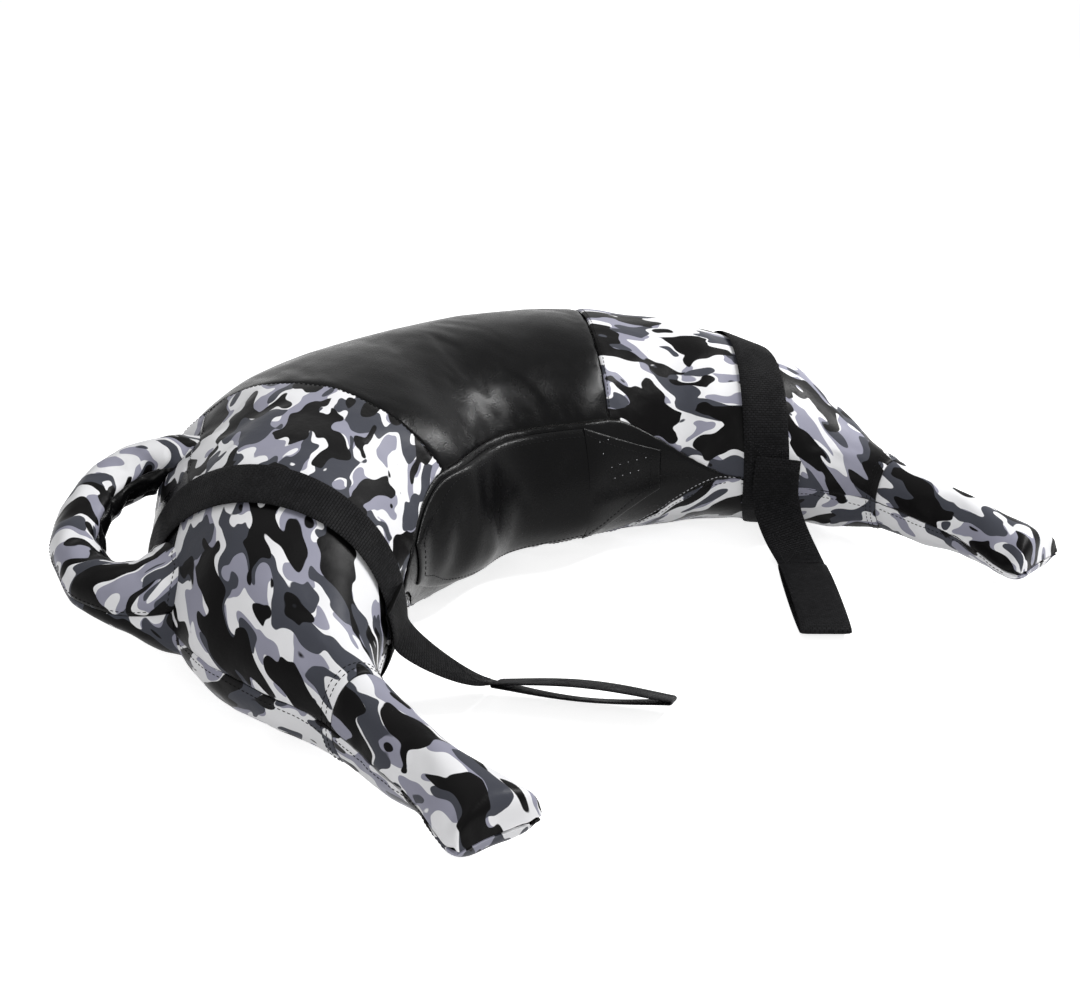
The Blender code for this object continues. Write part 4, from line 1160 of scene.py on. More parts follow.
def meets_skin(side, angle, last_turn):
    """Turn at which one column of the tube, followed from the middle of the loop, meets the bag."""
    turns = np.linspace(90.0, last_turn, COLUMN_STEPS)
    angles = np.full(COLUMN_STEPS, angle)
    column = loop_points(side, turns, angles, LOOP_TUBE_RADIUS + flare(turns, angle))
    for i in range(COLUMN_STEPS - 1):
        step = Vector(column[i + 1] - column[i])
        hit = skin_tree.ray_cast(Vector(column[i]), step.normalized(), step.length)
        if hit[0] is not None:
            share = (hit[0] - Vector(column[i])).length / step.length
            return turns[i] + (turns[i + 1] - turns[i]) * share
    return last_turn


def skin_to_skin(side, angles, rows, stop_short=0.0):
    """A grid of the tube that ends on the bag: turns along each column, and angles of the columns."""
    near = np.array([meets_skin(side, angle, -LOOP_BURIED_ANGLE) for angle in angles]) + stop_short
    far = np.array([meets_skin(side, angle, 180.0 + LOOP_BURIED_ANGLE) for angle in angles]) - stop_short
    shares = np.linspace(0.0, 1.0, rows)[:, None]
    return near * (1 - shares) + far * shares, np.repeat(angles[None, :], rows, axis=0)

# %% Skin of the tube
LOOP_ROWS, LOOP_COLUMN_PITCH = 110, 6.0
CREASE_DEPTH, CREASE_SLANT, CREASES_PER_RADIAN = 0.0017, 5.0, 17.0
HOLE_SLIMMING, TUBE_WAVE = 0.007, 0.0008
LOOP_DIP_DEPTH, LOOP_DIP_REACH = 0.0013, 0.0022
LOOP_PRINT_LONG, LOOP_PRINT_WIDE = 2.3, 1.1


def facing_hole(angles):
    """0 on the outside of the tube, and 1 on the side of the hole."""
    return (1 - np.cos(np.radians(angles))) / 2


def loop_radius(side, turns, angles):
    """The stuffed tube's radius: creases across it near the hole, and a softer unevenness outside."""
    points = loop_points(side, turns, angles, np.full(np.shape(turns), LOOP_TUBE_RADIUS))
    slant = turns + CREASE_SLANT * np.sin(np.radians(angles * 2))
    creases = (np.cos(np.radians(slant) * CREASES_PER_RADIAN) * 0.6
               + ripple(points, wavelength=0.016, seed=21) * 0.5)
    creases = CREASE_DEPTH * (0.25 + 0.75 * facing_hole(angles)) * np.maximum(creases, -0.3)
    slim = HOLE_SLIMMING * facing_hole(angles) * np.maximum(np.sin(np.radians(turns)), 0.0)
    uneven = TUBE_WAVE * ripple(points, wavelength=0.045, seed=22)
    return LOOP_TUBE_RADIUS - creases - slim + uneven + flare(turns, angles)


def loop_strip(name, side, start, end, finish):
    """One strip of the tube between two seams that run along it."""
    gap = math.degrees(HALF_SEAM / LOOP_TUBE_RADIUS)
    columns = np.linspace(start + gap, end - gap, int((end - start) / LOOP_COLUMN_PITCH) + 1)
    turns, angles = skin_to_skin(side, columns, LOOP_ROWS)
    points = loop_points(side, turns, angles, loop_radius(side, turns, angles))
    girth = path_lengths(points, 1)
    room = np.minimum(girth, girth[:, -1:] - girth)
    core = loop_points(side, turns, angles, np.full(turns.shape, LOOP_TUBE_RADIUS - 10 * PROBE))
    inward = unit(core - points)
    points = points + inward * (LOOP_DIP_DEPTH * np.exp(-room / LOOP_DIP_REACH))[..., None]
    quads = grid_quads(*room.shape)
    mesh = bpy.data.meshes.new(name)
    mesh.from_pydata(points.reshape(-1, 3).tolist(), [], quads.tolist())
    flat = flat_map(points, (LOOP_PRINT_LONG + side, LOOP_PRINT_WIDE + start / 100))
    write_flat_map(mesh, flat.reshape(-1, 2)[:, ::-1])
    face_outwards(mesh, quads, -inward)
    fine = smooth_copy(mesh, name)
    turn_in_edges(fine)
    return new_thing(name, fine, finish)


STRIPS = (("_loop_upper", 0.0, LOOP_FACING_ANGLE, camouflage),
          ("_loop_lining", LOOP_FACING_ANGLE, 360.0 - LOOP_FACING_ANGLE, leather),
          ("_loop_lower", 360.0 - LOOP_FACING_ANGLE, 360.0, camouflage))
loop_things = {}
for side_name, side in SIDES:
    for part, start, end, finish in STRIPS:
        loop_things[side_name + part] = loop_strip(side_name + part, side, start, end, finish)
print("loop handles:", len(loop_things), "strips")

# %% Facing of the bag inside the loop
FACING_HALF_LENGTH, FACING_END = 0.056, 0.001
FACING_BASE_ANGLE, FACING_LOW, FACING_HIGH = 1.0, 2.0, 46.0
FACING_GAP, FACING_THICKNESS, FACING_EDGE = 0.0001, 0.0007, 0.0012


def facing_top(arc):
    reach = (np.abs(arc) - LOOP_ARC) / FACING_HALF_LENGTH
    return FACING_LOW + FACING_HIGH * np.sqrt(np.maximum(1 - reach ** 2, 0.0))


for side_name, side in SIDES:
    half = FACING_HALF_LENGTH - FACING_END
    near, far = sorted((side * (LOOP_ARC - half), side * (LOOP_ARC + half)))
    flap(side_name + "_hole_facing", near, far, level_line(FACING_BASE_ANGLE), facing_top,
         FACING_GAP, FACING_THICKNESS, FACING_EDGE, leather)

# %% Stuffing of the loops
ROLL_INSET, ROLL_STOP, ROLL_ROWS, ROLL_COLUMNS = 0.0040, 2.5, 70, 30

for side_name, side in SIDES:
    columns = np.linspace(0.0, 360.0, ROLL_COLUMNS, endpoint=False)
    turns, angles = skin_to_skin(side, columns, ROLL_ROWS, ROLL_STOP)
    rings = loop_points(side, turns, angles, loop_radius(side, turns, angles) - ROLL_INSET)
    closed_sleeve(side_name + "_loop_roll", rings, stuffing)
print("stuffing: 2 rolls, which stop a little short of the bag's skin")

# %% [markdown]
# Webbing straps
#
# Each strap is one length of 40 mm webbing: a ring round the arm through the loop handle, a tail that
# hangs from it to the ground, and a long hand loop at the end. Webbing bends easily and doesn't stretch,
# so it is drawn directly: a strip with rounded edges that follows a path, with its own width direction at
# each point.

# %% Strip of webbing
WEBBING_THICKNESS, STRAP_GAP = 0.0020, 0.0010
STRIP_COLUMNS, STRIP_SQUARENESS, STRIP_ANGLE = 9, 8, 60.0


def along_path(path, closed):
    if closed:
        return unit(np.roll(path, -1, axis=0) - np.roll(path, 1, axis=0))
    return unit(np.gradient(path, axis=0))


def webbing_strip(name, path, widths, thickness, closed=False):
    """A strip with rounded edges along a path. widths are directions across the strip."""
    run = along_path(path, closed)
    widths = unit(widths - run * (widths * run).sum(axis=1, keepdims=True))
    square = np.cross(run, widths)
    places = np.sin(np.linspace(-math.pi / 2, math.pi / 2, STRIP_COLUMNS))
    halves = np.sqrt(np.maximum(1 - np.abs(places) ** STRIP_SQUARENESS, 0.0)) * thickness / 2
    places = places * WEBBING_WIDTH / 2
    ring = list(zip(places, halves)) + list(zip(places[-2:0:-1], -halves[-2:0:-1]))
    rows, columns = len(path), len(ring)
    points = np.array([path + widths * s + square * h for s, h in ring]).transpose(1, 0, 2)
    length = path_lengths(path, 0)
    faces, flat = [], []
    for i in range(rows if closed else rows - 1):
        k = (i + 1) % rows
        end = length[i] + np.linalg.norm(path[k] - path[i])
        for j in range(columns):
            m = (j + 1) % columns
            faces.append((i * columns + j, i * columns + m, k * columns + m, k * columns + j))
            for row_length, column in ((length[i], j), (length[i], m), (end, m), (end, j)):
                flat += [row_length, ring[column][0]]
    if not closed:
        faces.append(tuple(reversed(range(columns))))
        faces.append(tuple((rows - 1) * columns + j for j in range(columns)))
        flat += [0.0, 0.0] * (2 * columns)
    mesh = bpy.data.meshes.new(name)
    mesh.from_pydata(points.reshape(-1, 3).tolist(), [], faces)
    mesh.uv_layers.new(name="flat").data.foreach_set("uv", flat)
    outwards(mesh)
    thing = new_thing(name, mesh, webbing)
    mesh.set_sharp_from_angle(angle=math.radians(STRIP_ANGLE))
    return thing

# %% Strap bands
BAND_PITCH, WIDTH_STEP = 0.004, 0.004


def across_strap(arcs, angles):
    """Directions along the bag, across a strap that goes round it."""
    return skin_at(arcs + WIDTH_STEP, angles) - skin_at(arcs - WIDTH_STEP, angles)


def band(name, side):
    angles = graded_along(0.0, 360.0, lambda a: skin_at(side * band_arc(a), a), BAND_PITCH)[:-1]
    middle = side * band_arc(angles)
    path = skin_at(middle, angles, STRAP_GAP + WEBBING_THICKNESS / 2)
    return webbing_strip(name, path, across_strap(middle, angles), WEBBING_THICKNESS, closed=True)


bands = {side_name: band(side_name + "_band", side) for side_name, side in SIDES}
print("bands:", sorted(bands))

# %% How the tails and hand loops lie, left (-1) and right (1)
TAIL_SHIFT, TAIL_LEAD, TAIL_THICKNESS = 0.010, 0.020, 0.0026
TAIL_OUT = STRAP_GAP + 2 * WEBBING_THICKNESS + LAYER_GAP
TAIL_RUNS = {-1: 0.067, 1: 0.047}
TAIL_SWINGS = {-1: -15.0, 1: 19.0}
TAIL_DROP_SHARES, TAIL_FLOOR_SHARE = {-1: 0.20, 1: 0.55}, 0.5
TAIL_ROWS, LEAD_ROWS = 48, 8
LOOP_SWINGS = {-1: 2.0, 1: -5.0}
LOOP_ROLLS = {-1: 25.0, 1: 0.0}
LOOP_FULLNESS = {-1: 1.1, 1: 0.5}
END_ROLLS, STRAND_ROLLS = {-1: -3.0, 1: 0.0}, {-1: -4.5, 1: 0.0}
HINGE_GAP, SEAM_GAP = 0.0008, 0.0003
HAND_LOOP_LENGTH, HAND_LOOP_EYE, FOLD_SHARE = 0.127, 0.009, 0.55
TACK_HEIGHT, TACK_THICKNESS, TACK_ROWS = 0.016, 0.0012, 9
def angle_at_band(distance):
    """A distance round the section, at the strap's neck side, as an angle."""
    return math.degrees(distance / (section_height(BAND_INNER_ARC) / 2))


def tail_frame(side):
    """A tail's hinge on its band, its foot, the hand loop's direction and the two width directions."""
    arc, half = side * BAND_INNER_ARC, side * WEBBING_WIDTH / 2
    along = unit(skin_at(arc + half, 180.0) - skin_at(arc - half, 180.0))
    top = skin_at(arc, 180.0, TAIL_OUT) + along * TAIL_SHIFT
    inward = unit(np.array([-side * abs(along[1]), -abs(along[0]), 0.0]))
    level = unit(np.array([along[0], along[1], 0.0]))
    swing, roll, turn = (math.radians(angles[side])
                         for angles in (LOOP_SWINGS, LOOP_ROLLS, TAIL_SWINGS))
    ahead = inward * math.cos(swing) + level * math.sin(swing)
    flat_across = level * math.cos(swing) - inward * math.sin(swing)
    across = flat_across * math.cos(roll) + np.array([0.0, 0.0, math.sin(roll)])
    foot = top + (inward * math.cos(turn) + level * math.sin(turn)) * TAIL_RUNS[side]
    foot[2] = (SEAM_GAP + HAND_LOOP_EYE / 2 + WEBBING_THICKNESS
               + abs(across[2]) * WEBBING_WIDTH / 2)
    return top, foot, ahead, along, across


def tail_path(side):
    """A curve of four control points, from the hinge on the band down to the foot."""
    top, foot, ahead, _, _ = tail_frame(side)
    end = foot - ahead * (WEBBING_THICKNESS * 2 + HINGE_GAP) / 2
    drop = top - np.array([0.0, 0.0, (top[2] - end[2]) * TAIL_DROP_SHARES[side]])
    level_run = end - ahead * TAIL_RUNS[1] * TAIL_FLOOR_SHARE
    share = np.linspace(0.0, 1.0, TAIL_ROWS)[:, None]
    rest = 1 - share
    return (rest ** 3 * top + 3 * rest ** 2 * share * drop + 3 * rest * share ** 2 * level_run
            + share ** 3 * end)

# %% Tails, hand loops and their sewn ends
def tail(name, side):
    """The tail begins on the band above its hinge, as the strap that comes down over the arm does."""
    _, _, _, along, across = tail_frame(side)
    above = np.linspace(180.0 - angle_at_band(TAIL_LEAD), 180.0, LEAD_ROWS + 1)[:-1]
    lead = skin_at(side * BAND_INNER_ARC, above, TAIL_OUT) + along * TAIL_SHIFT
    share = np.concatenate([np.zeros(LEAD_ROWS), np.linspace(0.0, 1.0, TAIL_ROWS)])[:, None]
    path = np.concatenate([lead, tail_path(side)])
    return webbing_strip(name, path, (1 - share) * along + share * across, TAIL_THICKNESS)


def hand_loop(name, side):
    """A flat ring of webbing on the ground: its two layers part in the middle and meet at the ends."""
    _, foot, ahead, _, across = tail_frame(side)
    square = np.cross(across, ahead)
    square = square * math.copysign(1.0, square[2])
    fold = WEBBING_THICKNESS * FOLD_SHARE
    share = (1 - np.cos(np.linspace(0.0, math.pi, 76))) / 2
    run = fold + share * (HAND_LOOP_LENGTH - 2 * fold)
    fullness = np.sin(math.pi * share) ** LOOP_FULLNESS[side]
    upper = fullness * (HAND_LOOP_EYE / 2 + WEBBING_THICKNESS / 2 - fold) + fold
    bend = np.linspace(math.pi / 2, -math.pi / 2, 9)[1:-1]
    runs = np.concatenate([run, run[-1] + np.cos(bend) * fold,
                           run[::-1], run[0] - np.cos(bend) * fold])
    rises = np.concatenate([upper, np.sin(bend) * fold, -upper[::-1], -np.sin(bend) * fold])
    start = foot + ahead * HINGE_GAP / 2
    path = start + ahead * runs[:, None] + square * rises[:, None]
    part = np.sin(math.pi * np.clip(runs / HAND_LOOP_LENGTH, 0.0, 1.0))
    roll = END_ROLLS[side] * (1 - part) + STRAND_ROLLS[side] * part * (rises > 0)
    roll = np.radians(roll)[:, None]
    widths = across * np.cos(roll) + square * np.sin(roll)
    return webbing_strip(name, path, widths, WEBBING_THICKNESS, closed=True)


def tail_tack(name, side):
    """The tail's end, folded up over the band and sewn to it."""
    start = 180.0 - angle_at_band(HINGE_GAP + WEBBING_THICKNESS)
    angles = np.linspace(start - angle_at_band(TACK_HEIGHT), start, TACK_ROWS)
    out = STRAP_GAP + WEBBING_THICKNESS + LAYER_GAP + TACK_THICKNESS / 2
    middle = np.full(TACK_ROWS, side * (BAND_INNER_ARC + TAIL_SHIFT))
    path = skin_at(middle, angles, out)
    return webbing_strip(name, path, across_strap(middle, angles), TACK_THICKNESS)


tails = {}
for side_name, side in SIDES:
    tails[side_name] = tail(side_name + "_tail", side)
    hand_loop(side_name + "_hand_loop_strap", side)
    tail_tack(side_name + "_sewn_end", side)
print("straps:", len(tails), "tails, each with its hand loop")

# %% [markdown]
# Stitches
#
# Every seam is closed by a row of stitches, and the straps are held by blocks of them. A stitch is a short
# bead of thread, laid along the seam at an even spacing. That is work for Geometry Nodes: the seam lines go
# in as edges that know which way is away from the cloth, and the tree lays one bead at each step, turned
# along the line, then makes them real.

# %% Stitch tree
def stitch_tree():
    tree = bpy.data.node_groups.new("sewn_stitches", "GeometryNodeTree")
    for name, kind in (("Seam lines", "NodeSocketGeometry"), ("Spacing", "NodeSocketFloat"),
                       ("Stitch length", "NodeSocketFloat"), ("Thread thickness", "NodeSocketFloat"),
                       ("Thread", "NodeSocketMaterial")):
        tree.interface.new_socket(name, in_out="INPUT", socket_type=kind)
    tree.interface.new_socket("Stitches", in_out="OUTPUT", socket_type="NodeSocketGeometry")
    asked = tree.nodes.new("NodeGroupInput").outputs
    lines = wire(tree, "GeometryNodeMeshToCurve", {"Mesh": asked["Seam lines"]})
    steps = wire(tree, "GeometryNodeCurveToPoints", {"Curve": lines.outputs[0],
                                                     "Length": asked["Spacing"]}, mode="LENGTH")
    away = wire(tree, "GeometryNodeInputNamedAttribute", {"Name": "away"}, data_type="FLOAT_VECTOR")
    turned = wire(tree, "FunctionNodeAxesToRotation", {"Primary Axis": steps.outputs["Tangent"],
                                                       "Secondary Axis": away.outputs[0]},
                  primary_axis="X", secondary_axis="Z")
    bead = wire(tree, "GeometryNodeMeshIcoSphere", {"Radius": 0.5, "Subdivisions": 2})
    size = wire(tree, "ShaderNodeCombineXYZ", {"X": asked["Stitch length"],
                                               "Y": asked["Thread thickness"],
                                               "Z": asked["Thread thickness"]})
    laid = wire(tree, "GeometryNodeInstanceOnPoints", {"Points": steps.outputs["Points"],
                                                       "Instance": bead.outputs["Mesh"],
                                                       "Rotation": turned.outputs[0],
                                                       "Scale": size.outputs[0]})
    real = wire(tree, "GeometryNodeRealizeInstances", {"Geometry": laid.outputs[0]})
    smooth = wire(tree, "GeometryNodeSetShadeSmooth", {"Geometry": real.outputs[0]})
    threaded = wire(tree, "GeometryNodeSetMaterial", {"Geometry": smooth.outputs[0],
                                                      "Material": asked["Thread"]})
    wire(tree, "NodeGroupOutput", {"Stitches": threaded.outputs[0]})
    return tree


sewing = stitch_tree()
THREAD_THICKNESS, THREAD_RISE = 0.0007, 0.15
# Kind of row: thread, spacing, length of a stitch
ROWS = {"dark": (dark_thread, 0.0038, 0.0027), "light": (light_thread, 0.0038, 0.0024),
        "dots": (light_thread, 0.0076, 0.0010), "block": (block_thread, 0.0024, 0.0018)}
seam_lines = {}


def sew_line(body, thread, tree, places):
    """A row of stitches, half sunk into the surface nearest to these places."""
    hits = [tree.find_nearest(Vector(place)) for place in places]
    points, away = np.array([hit[0] for hit in hits]), np.array([hit[1] for hit in hits])
    row = (points + away * THREAD_THICKNESS * THREAD_RISE, away)
    seam_lines.setdefault((body, thread), []).append(row)


def lay_stitches(name, lines, kind):
    """Real stitches along these lines, as one plain mesh."""
    points, edges, ways, first = [], [], [], 0
    for line, away in lines:
        points += line.tolist()
        ways.append(away)
        edges += [(first + i, first + i + 1) for i in range(len(line) - 1)]
        first += len(line)
    mesh = bpy.data.meshes.new(name + "_lines")
    mesh.from_pydata(points, edges, [])
    mesh.attributes.new("away", "FLOAT_VECTOR", "POINT").data.foreach_set(
        "vector", np.concatenate(ways).ravel())
    carrier = placed(name, mesh)
    machine = carrier.modifiers.new("sewing", "NODES")
    machine.node_group = sewing
    thread, spacing, stitch_length = ROWS[kind]
    wanted = {"Spacing": spacing, "Stitch length": stitch_length,
              "Thread thickness": THREAD_THICKNESS, "Thread": thread}
    for item in sewing.interface.items_tree:
        if item.name in wanted:
            machine[item.identifier] = wanted[item.name]
    return placed(name, made_real(carrier))

# %% Rows on the skin
ROW_OFFSET = 0.0036
SKIN_LOOK, FLAP_LOOK, TUBE_LOOK, BLOCK_LOOK = 0.004, 0.02, 0.004, 0.01


def skin_row(thread, arcs, angles):
    sew_line("bag", thread, skin_tree, skin_at(arcs, angles, SKIN_LOOK).reshape(-1, 3))


def girth_shift(arc, distance):
    """A distance round the section as an angle, near the seams."""
    reach = np.abs(arc)
    return np.degrees(distance / np.minimum(half_width(reach), seam_height(reach) * 2.0))


round_shares = np.linspace(0.0, 1.0, 90)
for side in (-1, 1):
    top_arc = side * (CENTRE_SEAM_ARC + ROW_OFFSET)
    skin_row("dark", np.full(90, top_arc), 3.0 + round_shares * (patch_top(top_arc) - 5.0))
    for row in (ROW_OFFSET, 2.1 * ROW_OFFSET):
        wrist_arcs = np.full(90, side * (ARM_LENGTH - row))
        skin_row("dark", wrist_arcs, 2.0 + round_shares * 176.0)
        skin_row("dark", wrist_arcs, 182.0 + round_shares * 176.0)
    root_arcs = side * np.linspace(CENTRE_SEAM_ARC + 0.004, SIDE_SEAM_ARC - 0.004, 90)
    skin_row("dark", root_arcs, root_top(root_arcs) + girth_shift(root_arcs, ROW_OFFSET))
    arm_arcs = side * np.linspace(SIDE_SEAM_ARC, ARM_LENGTH - 0.010, 60)
    skin_row("dark", arm_arcs, 180.0 + girth_shift(arm_arcs, ROW_OFFSET))
    grip_arcs = side * np.linspace(ARM_LENGTH + 0.006, ROUND_ARC - 0.002, 60)
    skin_row("dark", grip_arcs, 180.0 + girth_shift(grip_arcs, ROW_OFFSET * 0.7))
    skin_row("dark", grip_arcs, -girth_shift(grip_arcs, ROW_OFFSET * 0.7))
    edge_arcs = side * np.linspace(0.002, ARM_LENGTH - 0.010, 200)
    skin_row("dark", edge_arcs, -girth_shift(edge_arcs, ROW_OFFSET))
patch_arcs = np.linspace(-SIDE_SEAM_ARC + 0.02, SIDE_SEAM_ARC - 0.02, 220)
skin_row("dark", patch_arcs, patch_base(patch_arcs) + girth_shift(patch_arcs, ROW_OFFSET))
apex_arcs = np.linspace(0.16, SIDE_SEAM_ARC - 0.01, 120)
skin_row("light", apex_arcs, patch_base(apex_arcs) - girth_shift(apex_arcs, ROW_OFFSET * 0.5))
print("rows on the skin:", len(seam_lines[("bag", "dark")]))

# %% Sewn blocks that hold the straps
BLOCK_LENGTH, BLOCK_WIDTH, BLOCK_RISE = 0.026, 0.030, 0.004
BLOCK_CORNERS = ((-1, -1), (1, -1), (1, 1), (-1, 1), (-1, -1), (1, 1), (1, -1), (-1, 1))
BLOCK_ROW = 36


def block_rows(body, thing, middle, run, across, out):
    """A sewn block: a frame of stitches with a cross in it."""
    tree = surface_tree([thing])
    shares = np.linspace(0.0, 1.0, 24)[:, None]
    for a, b in zip(BLOCK_CORNERS, BLOCK_CORNERS[1:]):
        line = np.array(a) * (1 - shares) + np.array(b) * shares
        places = middle + run * line[:, :1] * BLOCK_LENGTH / 2 + across * line[:, 1:] * BLOCK_WIDTH / 2
        sew_line(body, "block", tree, places + out * BLOCK_LOOK)


for side_name, side in SIDES:
    angle = 180.0 - angle_at_band(BLOCK_LENGTH / 2 + BLOCK_RISE)
    above, beside = angle + 2, side * band_arc(angle) + WIDTH_STEP
    middle = skin_at(side * band_arc(angle), angle, 0.003)
    run = unit(skin_at(side * band_arc(above), above, 0.003) - middle)
    across = unit(skin_at(beside, angle, 0.003) - middle)
    block_rows("bag", bands[side_name], middle, run, across, unit(np.cross(run, across)) * side)
    _, _, _, along, across = tail_frame(side)
    path = tail_path(side)
    run = unit(path[BLOCK_ROW + 1] - path[BLOCK_ROW - 1])
    width = unit(0.25 * along + 0.75 * across)
    out = unit(np.cross(run, width))
    block_rows(side_name + "_tail", tails[side_name], path[BLOCK_ROW], run, width,
               out * np.sign(out[2]))
print("sewn blocks:", 2 * len(SIDES))

# %% Rows on the loop handles
for side_name, side in SIDES:
    tube_tree = surface_tree([loop_things[side_name + "_loop_upper"]])
    radius = LOOP_TUBE_RADIUS + TUBE_LOOK
    turns = np.linspace(-5.0, 185.0, 160)
    sew_line("bag", "dark", tube_tree,
             loop_points(side, turns, np.full(160, 9.0), np.full(160, radius)))
    around = np.linspace(8.0, 140.0, 60)
    roots = np.array([meets_skin(side, angle, -LOOP_BURIED_ANGLE) for angle in around]) + 3.5
    sew_line("bag", "dark", tube_tree, loop_points(side, roots, around, np.full(60, radius)))
print("dark rows with those on the loop handles:", len(seam_lines[("bag", "dark")]))

# %% Rows on the cover and the tab
cover_tree, tab_tree = surface_tree([filler_cover]), surface_tree([closure_tab])
COVER_ROW_ANGLE, TAB_ROW_ANGLE, ROW_FROM_END = 3.2, 2.6, 0.005
# First and last distance from the fold, and angle round the section
DOTTED_ROWS = ((0.030, 0.062, 158.0), (0.036, 0.050, 162.5), (0.052, 0.106, 168.5),
               (0.058, 0.096, 173.0))


def flap_row(body, thread, tree, arcs, angles):
    sew_line(body, thread, tree, skin_at(arcs, angles, FLAP_LOOK).reshape(-1, 3))


cover_arcs = np.linspace(COVER_LEFT_ARC + 0.006, FOLD_ARC - 0.004, 160)
flap_row("bag", "dark", cover_tree, cover_arcs, cover_top(cover_arcs) + COVER_ROW_ANGLE)
flap_row("bag", "dark", cover_tree, cover_arcs, cover_base(cover_arcs) - COVER_ROW_ANGLE)
cover_ends = np.linspace(cover_top(COVER_LEFT_ARC) + COVER_ROW_ANGLE,
                         cover_base(COVER_LEFT_ARC) - COVER_ROW_ANGLE, 60)
flap_row("bag", "dark", cover_tree, np.full(60, COVER_LEFT_ARC + ROW_FROM_END), cover_ends)
end_arc = FOLD_ARC + TAB_LENGTH - ROW_FROM_END
tab_arcs = np.linspace(FOLD_ARC + ROW_FROM_END, end_arc, 70)
flap_row("tab", "dark", tab_tree, tab_arcs, tab_top(tab_arcs) + TAB_ROW_ANGLE)
flap_row("tab", "dark", tab_tree, tab_arcs, tab_base(tab_arcs) - TAB_ROW_ANGLE)
flap_row("tab", "dark", tab_tree, np.full(40, end_arc),
         np.linspace(tab_top(end_arc) + TAB_ROW_ANGLE, tab_base(end_arc) - TAB_ROW_ANGLE, 40))
for near, far, angle in DOTTED_ROWS:
    flap_row("tab", "dots", tab_tree, FOLD_ARC + np.linspace(near, far, 20), np.full(20, angle))
print("rows on the tab:", sum(len(lines) for (body, _), lines in seam_lines.items() if body == "tab"))

# %% Lay the stitches
stitch_things = {(body, kind): lay_stitches(body + "_stitches_" + kind, lines, kind)
                 for (body, kind), lines in seam_lines.items()}
print("stitches:", {name: len(thing.data.polygons) // 80 for name, thing in stitch_things.items()})

# %% [markdown]
# What lies inside
#
# A canvas liner with the filler slit, three sacks of sand and a stuffed roll in each grip and loop are the
# inside of the bag. They show only through the slit or when the bag is taken apart, but they are finished
# too: rings of the section, drawn in from the skin, and closed by domed ends.

# %% Rolls and sacks
ROLL_PITCH, ROLL_SIDES, ROLL_DOME, DRAWN_IN = 0.008, 48, 0.010, 0.35
ROLL_WAVE, ROLL_WAVE_LENGTH = 0.0005, 0.04


def stuffed_roll(name, start, end, inset, finish, slit=None):
    """A closed roll inside the skin, with domed ends, and with an opening where a slit is asked for."""
    arcs = np.linspace(start, end, max(8, int(abs(end - start) / ROLL_PITCH)))
    angles = np.linspace(0.0, 360.0, ROLL_SIDES, endpoint=False)
    rings = skin_at(arcs[:, None], angles[None, :], -inset)
    uneven = ROLL_WAVE * ripple(rings, ROLL_WAVE_LENGTH, seed=31)
    rings = rings + uneven[..., None] * spine_frame(arcs)[1][:, None, :]
    centres = rings.mean(axis=1, keepdims=True)
    depth = np.minimum(np.abs(arcs - start), np.abs(end - arcs))
    drawn = np.sqrt(np.clip(1 - (1 - np.minimum(depth / ROLL_DOME, 1.0)) ** 2, 0.05, 1.0))
    rings = centres + (rings - centres) * (1 - DRAWN_IN * (1 - drawn))[:, None, None]
    leave_out = None
    if slit is not None:
        leave_out = lambda i, j: slit((arcs[i] + arcs[i + 1]) / 2, (j + 0.5) * 360.0 / ROLL_SIDES)
    return closed_sleeve(name, rings, finish, leave_out)


LINER_END_ARC, LINER_INSET = 0.430, 0.0075
SACK_INSET, SACK_GAP, SACK_END_ARC = 0.0105, 0.0004, LINER_END_ARC - 0.0018
GRIP_ROLL_INSET, GRIP_ROLL_GAP, GRIP_ROLL_TIP_GAP = 0.0036, 0.0008, 0.018
# Piece of each arm: first and last arc, how far inside the skin, what it is made of
ARM_FILLINGS = {
    "_sack": (CENTRE_SEAM_ARC + SACK_GAP, SACK_END_ARC, SACK_INSET, sack_cloth),
    "_grip_roll": (LINER_END_ARC + GRIP_ROLL_GAP, TIP_ARC - GRIP_ROLL_TIP_GAP, GRIP_ROLL_INSET,
                   stuffing),
}
inside = [
    stuffed_roll("canvas_liner", -LINER_END_ARC, LINER_END_ARC, LINER_INSET, liner_canvas,
                 filler_slit(LINER_SLIT_ANGLE)),
    stuffed_roll("middle_sack", -CENTRE_SEAM_ARC + SACK_GAP, CENTRE_SEAM_ARC - SACK_GAP, SACK_INSET,
                 sack_cloth),
]
for side_name, side in SIDES:
    for part, (near, far, inset, finish) in ARM_FILLINGS.items():
        start, end = sorted((side * near, side * far))
        inside.append(stuffed_roll(side_name + part, start, end, inset, finish))
print("inside:", [thing.name for thing in inside])
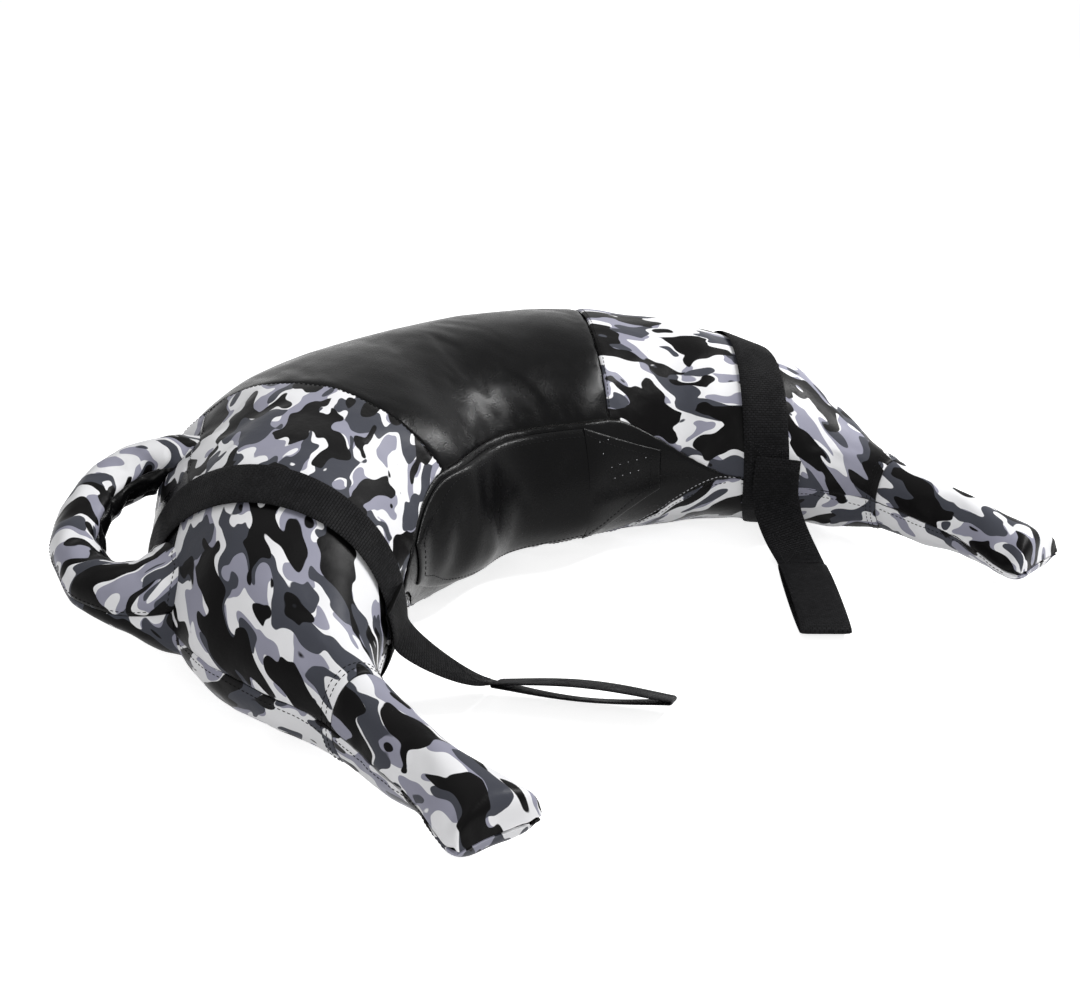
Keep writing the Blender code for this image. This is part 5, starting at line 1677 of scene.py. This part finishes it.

# %% [markdown]
# Fit everything to the frame
#
# Each piece stands for its CAD nodes and rides on their body. The tab, the tails and the hand loops bend
# over their hinges, so those pieces ride on no body: their placement is baked into their meshes.

# %% Which piece stands for which nodes
# Piece: CAD node and finish
MIDDLE_PIECES = {
    "crown_panel": ("centre_top_panel", "black_leather"),
    "belly_panel": ("centre_base_panel", "camouflage_skin"),
    "neck_panel": ("neck_patch", "black_leather"),
    "neck_flap": ("filler_cover", "black_leather"),
    "closing_tab": ("closure_tab", "black_leather"),
    "loop_tape_on_bag": ("patch_tape", "hook_and_loop_tape"),
    "hook_tape_on_tab": ("tab_tape", "hook_and_loop_tape"),
    "canvas_liner": ("liner", "liner_canvas"),
    "middle_sack": ("centre_sand_sack", "sand_sack"),
}
SIDE_PIECES = {
    "_arm_panel": ("_top_panel", "camouflage_skin"),
    "_root_panel": ("_loop_root_panel", "camouflage_skin"),
    "_underarm_panel": ("_arm_base_panel", "camouflage_skin"),
    "_grip_panel": ("_handle_top", "camouflage_skin"),
    "_undergrip_panel": ("_handle_base", "camouflage_skin"),
    "_loop_upper": ("_loop_cover_top", "camouflage_skin"),
    "_loop_lining": ("_loop_facing", "black_leather"),
    "_loop_lower": ("_loop_cover_base", "camouflage_skin"),
    "_band": ("_strap_band", "black_webbing"),
    "_tail": ("_strap_tail", "black_webbing"),
    "_hand_loop_strap": ("_hand_loop", "black_webbing"),
    "_sewn_end": ("_tail_tack", "black_webbing"),
    "_sack": ("_sand_sack", "sand_sack"),
    "_grip_roll": ("_grip_core", "stuffing"),
    "_loop_roll": ("_loop_core", "stuffing"),
}
replaced = dict(MIDDLE_PIECES)
for side_name, _ in SIDES:
    for piece, (node, slot) in SIDE_PIECES.items():
        replaced[side_name + piece] = (side_name + node, slot)
body_of_node = {node: body for body, nodes in frame["record"]["behaviour"]["bodies"].items()
                for node in nodes}
print("pieces that stand for CAD nodes:", len(replaced))

# %% Pieces that bend over a hinge
BEND_LENGTH = 0.012
bending = {}
for side_name, side in SIDES:
    top, foot, ahead, _, _ = tail_frame(side)
    down = top - np.array([0.0, 0.0, BEND_LENGTH])
    bending[side_name + "_tail"] = ("bag", side_name + "_tail", top, down)
    bending[side_name + "_hand_loop_strap"] = (side_name + "_tail", side_name + "_loop", foot,
                                               foot + ahead * BEND_LENGTH)
fold = skin_at(FOLD_ARC, 180.0, TAB_OUT)
fold_ahead = unit(skin_at(FOLD_ARC + 0.004, 180.0, TAB_OUT) - fold)
bending["closing_tab"] = ("bag", "tab", fold, fold + fold_ahead * BEND_LENGTH / 2)

# %% Ride and replace
for name, (node, slot) in replaced.items():
    thing = bpy.data.objects[name]
    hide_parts(node)
    if name in bending:
        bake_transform(thing)
    else:
        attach(thing, body_of_node[node])
for (body, kind), thing in stitch_things.items():
    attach(thing, body)
for side_name, _ in SIDES:
    facing = bpy.data.objects[side_name + "_hole_facing"]
    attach(facing, "bag")
left_over = [name for name, node in frame["nodes"].items() if not node.hide_render]
print("CAD nodes still shown:", left_over)
